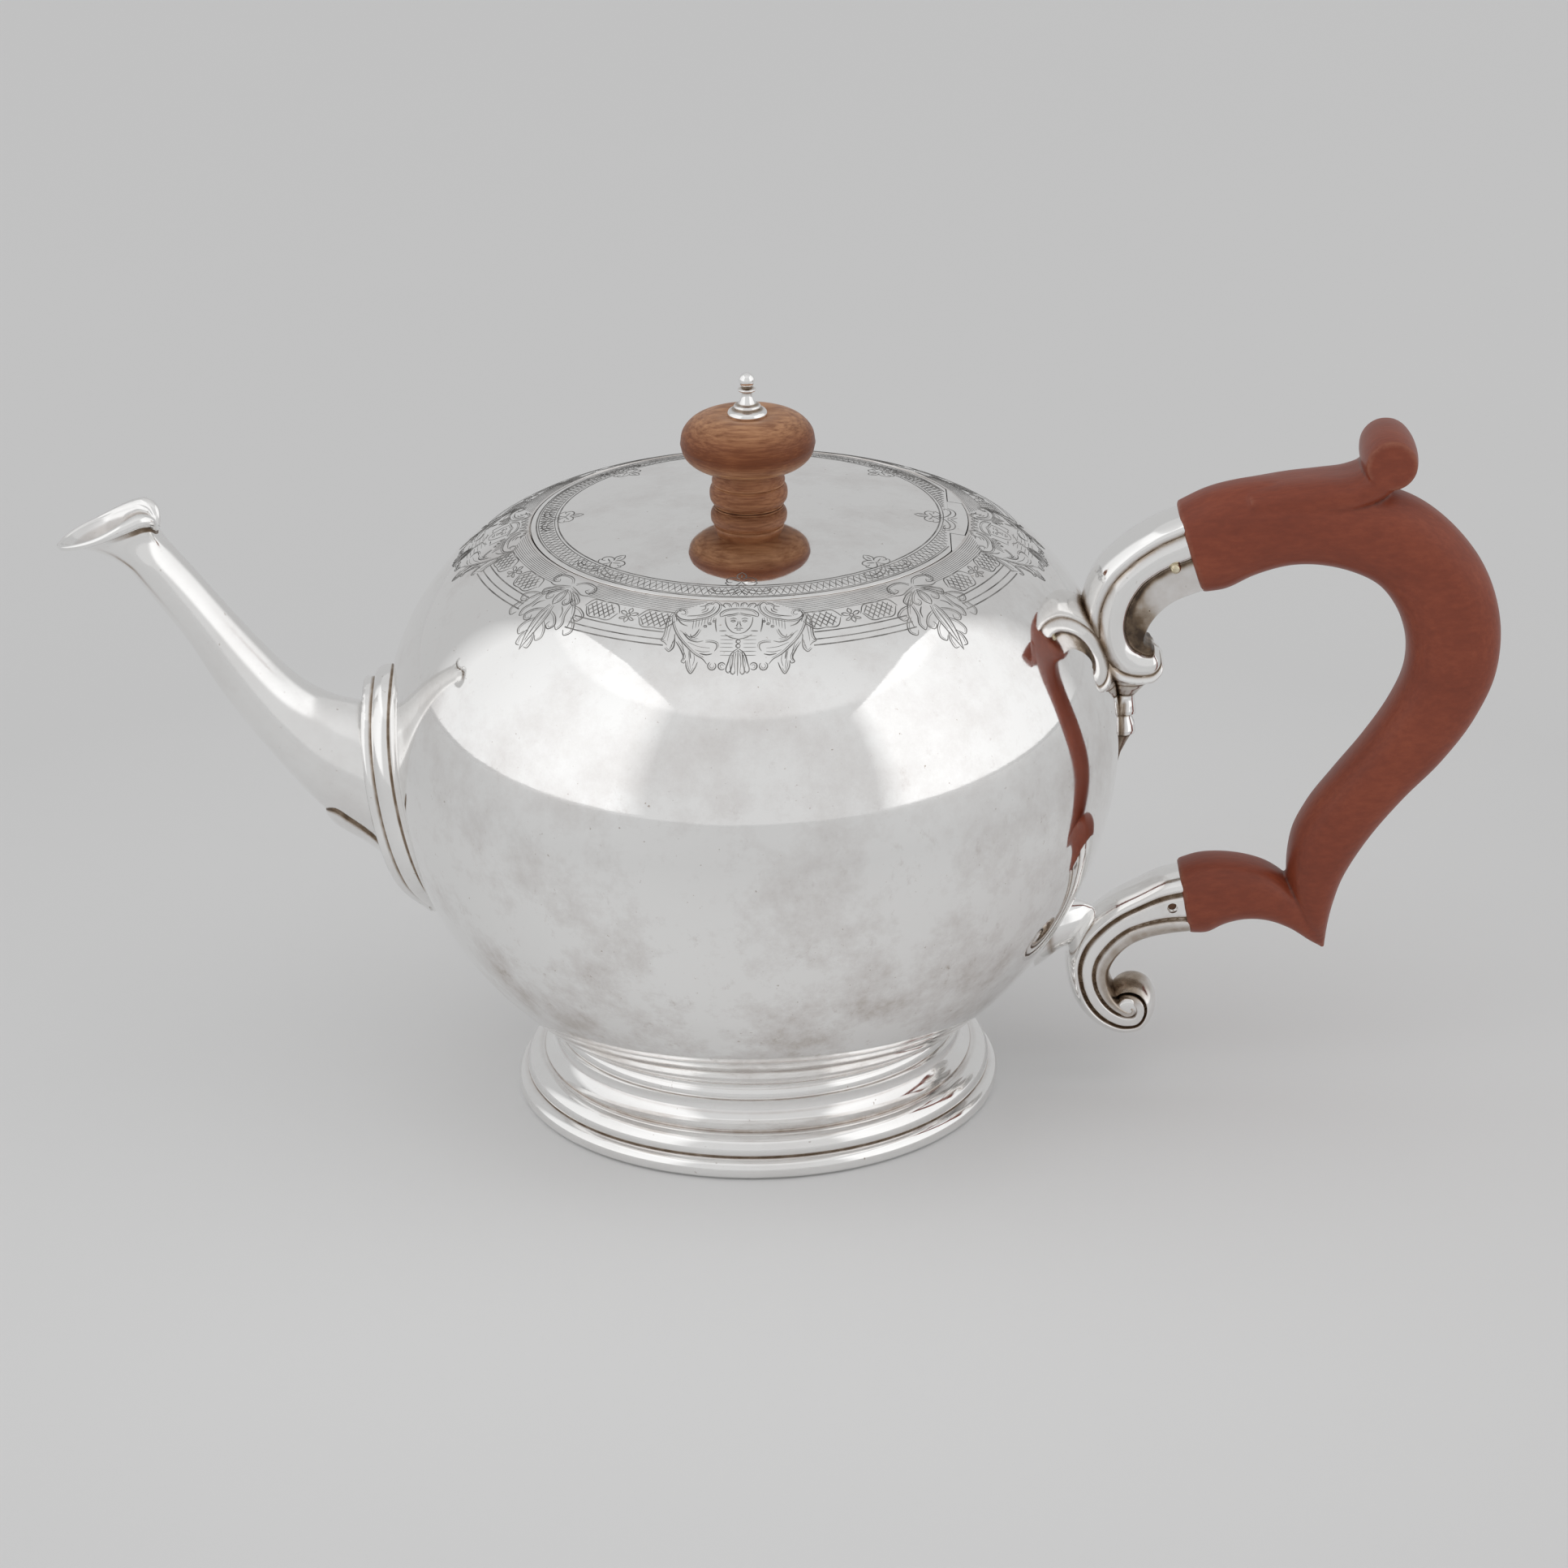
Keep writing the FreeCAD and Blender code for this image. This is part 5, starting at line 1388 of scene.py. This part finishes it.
def diaper_panel(skin, turn, middle):
    """A panel of crossed lines with pointed ends and a double border."""
    half_long = 2.3
    top = 3.75
    bottom = 6.75
    centre = (top + bottom) / 2
    border = [(half_long + 0.9, centre), (half_long - 0.2, top - 0.15), (0.0, top - 0.15)]
    for edge in (border, [(across - 0.25, 2 * centre - down) for across, down in border]):
        for flip in (1, -1):
            line = [(middle + flip * across, down) for across, down in edge]
            engrave(skin, on_shoulder, turn, line, RULE_WIDTH)
    for offset in np.arange(-half_long - 1.3, half_long + 1.4, 0.95):
        for slant in (0.75, -0.75):
            low = np.linspace(top, bottom, 13)
            run = offset + slant * (low - centre)
            fits = np.abs(run) < half_long + 0.45 - 0.55 * np.abs(low - centre)
            if fits.sum() > 3:
                ends = np.flatnonzero(fits)[[0, -1]]
                line = [(middle + run[end], low[end]) for end in ends]
                engrave(skin, on_shoulder, turn, line, RULE_WIDTH)


def engrave_mask(skin, turn):
    """A mask among scrolls, with hanging cloth, level hatching and two small rings below it."""
    mirrored(skin, on_shoulder, turn, SCROLL_STROKES)
    mirrored(skin, on_shoulder, turn, shading(SCROLL_STROKES, gap=0.3) + VEIN_STROKES, SHADE_WIDTH)
    mirrored(skin, on_shoulder, turn, MASK_STROKES, MASK_WIDTH)
    folds = [[(across, 3.9 + 0.22 * (across - 3.6)), (across + 0.15, 4.6 + 0.62 * (across - 3.6))]
             for across in np.linspace(3.7, 6.8, CLOTH_FOLDS)]
    mirrored(skin, on_shoulder, turn, folds, SHADE_WIDTH)
    hatching = [[(0.75, level), (2.7, level)] for level in (7.6, 8.3, 9.0, 9.7, 10.4, 11.1)]
    mirrored(skin, on_shoulder, turn, hatching, SHADE_WIDTH)
    for level in (8.62, 9.42):
        engrave(skin, on_shoulder, turn, loop(0.0, level, 0.34, 0.34), RULE_WIDTH)


def engrave_spray(skin, turn):
    """A spray of leaves, with its shading."""
    spray = scaled(SPRAY_STROKES, wide=1.28, tall=1.12)
    mirrored(skin, on_shoulder, turn, spray)
    mirrored(skin, on_shoulder, turn, shading(spray, gap=0.32), SHADE_WIDTH)


def border_line(skin, step, level, clear, width):
    """A line from one ornament to the next that keeps clear of the mask and of the spray."""
    turn = FRONT_TURN + step * ORNAMENT_TURN
    radius = np.hypot(*on_shoulder(0.0, [0.0], [level])[0][0, :2])
    start = turn + clear[step % 2] / radius
    end = turn + ORNAMENT_TURN - clear[(step + 1) % 2] / radius
    ring_line(skin, on_shoulder, start, end, level, width)


def engrave_shoulder():
    """The engraved collar of the body: hatching, diaper panels, flowers, masks and leaf sprays."""
    panel_radius = 39.0
    panel_clear = (9.6, 5.6)
    skin = Skin()
    for step in range(8):
        turn = FRONT_TURN + step * ORNAMENT_TURN
        ornament = (engrave_mask, engrave_spray)[step % 2]
        ornament(skin, turn)
        for level in np.arange(0.5, 3.4, 0.32):
            border_line(skin, step, level, (4.2 + 1.5 * level, 3.5 + 0.15 * level), HATCH_WIDTH)
        for level, width in ((7.55, 0.22), (8.9, 0.2), (9.95, 0.22)):
            border_line(skin, step, level, (11.4, 5.3), width)
        start = panel_clear[step % 2] / panel_radius
        end = ORNAMENT_TURN - panel_clear[(step + 1) % 2] / panel_radius
        middle = turn + (start + end) / 2
        mirrored(skin, on_shoulder, middle, FLOWER_STROKES, RULE_WIDTH)
        diaper_panel(skin, middle, -4.7)
        diaper_panel(skin, middle, 4.7)
    skin_piece("shoulder_engraving", skin, engraved, NO_EDGE, "pot", "silver")


def engrave_lid():
    """The engraved border of the lid: ruled lines, a band of crossed dashes and eight palmettes."""
    skin = Skin()
    rule_reach = 33.2
    hinge_half = math.acos(LID_CHORD / rule_reach) + 0.01
    start = math.pi / 2 + hinge_half
    end = math.pi / 2 + 2 * math.pi - hinge_half
    for radius, width in ((32.95, 0.24), (32.6, 0.14)):
        ring_line(skin, on_lid, start, end, LID_BORDER - radius, width)
    for radius, width in ((30.1, 0.16), (29.6, 0.24)):
        ring_line(skin, on_lid, 0.0, 2 * math.pi, LID_BORDER - radius, width)
    dash_outer = 32.45
    shortest = 30.6
    for turn in full_turn(190):
        reach = (LID_CHORD - 0.6) / max(math.sin(turn), 1e-6)
        outer = dash_outer if math.sin(turn) < 0.5 else min(dash_outer, reach)
        if outer > shortest:
            for slant in (0.5, -0.5):
                dash = [(-slant, LID_BORDER - outer), (slant, -0.75)]
                engrave(skin, on_lid, turn, dash, DASH_WIDTH)
    for step in range(8):
        mirrored(skin, on_lid, FRONT_TURN + step * ORNAMENT_TURN, PALMETTE_STROKES)
    skin_piece("lid_engraving", skin, engraved, NO_EDGE, "lid", "silver")


def dress_cad_nodes():
    """Materials for the pieces that keep their CAD shapes: silver, and pin metal for the hinge pin."""
    for name in ("lid_seat", "lid_bezel", "knop_washer", "knop_nut"):
        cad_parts[name].material_slots[0].material = silver_inside
    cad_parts["hinge_pin"].material_slots[0].material = pin_metal


def make_floor():
    """A wide pale floor with painted light: a little lighter towards the front, and lighter round the pot to
    thin its shadow there.
    """
    reach = 2.35
    corners = [(reach * x, reach * y, 0.0) for x, y in ((-1, -1), (1, -1), (1, 1), (-1, 1))]
    mesh = bpy.data.meshes.new("floor")
    mesh.from_pydata(corners, [], [(0, 1, 2, 3)])
    floor = bpy.data.objects.new("floor", mesh)
    bpy.context.scene.collection.objects.link(floor)
    material, tree, place = new_material("pale_floor")
    depth = add_node(tree, "ShaderNodeSeparateXYZ", {"Vector": place}).outputs["Y"]
    away = add_node(tree, "ShaderNodeVectorMath", {0: place}, operation="LENGTH").outputs["Value"]
    shade = remap(tree, depth, 0.10, -0.22, 0.0, 0.35)
    # Painted light round the pot, thinning the shadow that falls beside the foot
    middle = remap(tree, away, 0.20, 0.06, 0.0, 0.65)
    mottle = remap(tree, noise(tree, place, scale=9.0), 0.3, 0.7, -0.02, 0.02)
    tone = math_of(tree, "ADD", math_of(tree, "ADD", shade, middle), mottle)
    set_surface(tree, {"Base Color": colours(tree, tone, FLOOR_TONES), "Roughness": 0.75,
                       "Specular IOR Level": 0.15})
    mesh.materials.append(material)


PANEL_BASE = 0.05
PANEL_FADE = 0.2


def add_panel(name, azimuth, distance, front, back, height, radiance):
    """An upright soft light wall, faded at both sides, that reaches front and back of its azimuth."""
    turn = math.radians(azimuth)
    width = (front + back) * (1 + PANEL_FADE)
    light = bpy.data.lights.new(name, "AREA")
    light.shape = "RECTANGLE"
    light.size = width
    light.size_y = height
    light.energy = radiance * math.pi * width * height
    light.use_nodes = True
    tree = light.node_tree
    place = add_node(tree, "ShaderNodeNewGeometry").outputs["Parametric"]
    across = add_node(tree, "ShaderNodeSeparateXYZ", {"Vector": place}).outputs["X"]
    from_side = math_of(tree, "PINGPONG", across, 0.5)
    fade = remap(tree, from_side, 0.0, PANEL_FADE / (1 + PANEL_FADE))
    set_inputs(tree, tree.nodes["Emission"], {"Strength": fade})
    panel = bpy.data.objects.new(name, light)
    away = Vector((math.sin(turn), -math.cos(turn), 0.0))
    toward_front = Vector((-away.y, away.x, 0.0)) * (1 if azimuth < 0 else -1)
    middle = away * distance + toward_front * (front - back) / 2
    panel.location = (middle.x, middle.y, PANEL_BASE + height / 2)
    panel.rotation_euler = (-away).to_track_quat("-Z", "Y").to_euler()
    panel.visible_camera = False
    bpy.context.scene.collection.objects.link(panel)


def light_studio():
    """Two tall soft light walls, left and right, in a grey room with a paler front and ceiling."""
    add_panel("panel_left", azimuth=-80.0, distance=3.0, front=2.79, back=2.54, height=5.2, radiance=0.34)
    add_panel("panel_right", azimuth=88.0, distance=2.4, front=2.47, back=1.41, height=3.38, radiance=0.40)
    world = bpy.data.worlds.new("grey_room")
    world.use_nodes = True
    tree = world.node_tree
    way = add_node(tree, "ShaderNodeTexCoord").outputs["Generated"]
    axes = add_node(tree, "ShaderNodeSeparateXYZ", {"Vector": way})
    front = remap(tree, axes.outputs["Y"], 0.25, -0.45, 0.54, 0.69)
    ceiling = remap(tree, axes.outputs["Z"], 0.735, 0.76, 0.0, 0.10)
    strength = math_of(tree, "ADD", front, ceiling)
    set_inputs(tree, tree.nodes["Background"], {"Color": (1.0, 1.0, 1.0, 1.0), "Strength": strength})
    bpy.context.scene.world = world
    bpy.context.scene.view_settings.view_transform = "Standard"


def add_camera():
    """The photograph's view: a long lens in front of the pot, looking down on it."""
    camera = bpy.data.cameras.new("camera")
    camera.lens = 135.27
    camera.sensor_width = 36.0
    camera.clip_start = 0.05
    camera.clip_end = 50.0
    place = Matrix.Translation((0.004812, -0.858047, 0.40957))
    pitch = Matrix.Rotation(math.radians(67.31), 4, "X")
    roll = Matrix.Rotation(math.radians(-0.838), 4, "Z")
    stand = bpy.data.objects.new("camera", camera)
    stand.matrix_world = place @ pitch @ roll
    bpy.context.scene.collection.objects.link(stand)
    bpy.context.scene.camera = stand


make_body()
make_foot()
make_lid()
make_hinge_leaves()
make_knop()
make_finial()
make_spout()
make_spout_moulding()
make_handle()
make_sockets()
make_drop()
make_pins()
brown_body()
engrave_shoulder()
engrave_lid()
dress_cad_nodes()
make_floor()
light_studio()
add_camera()
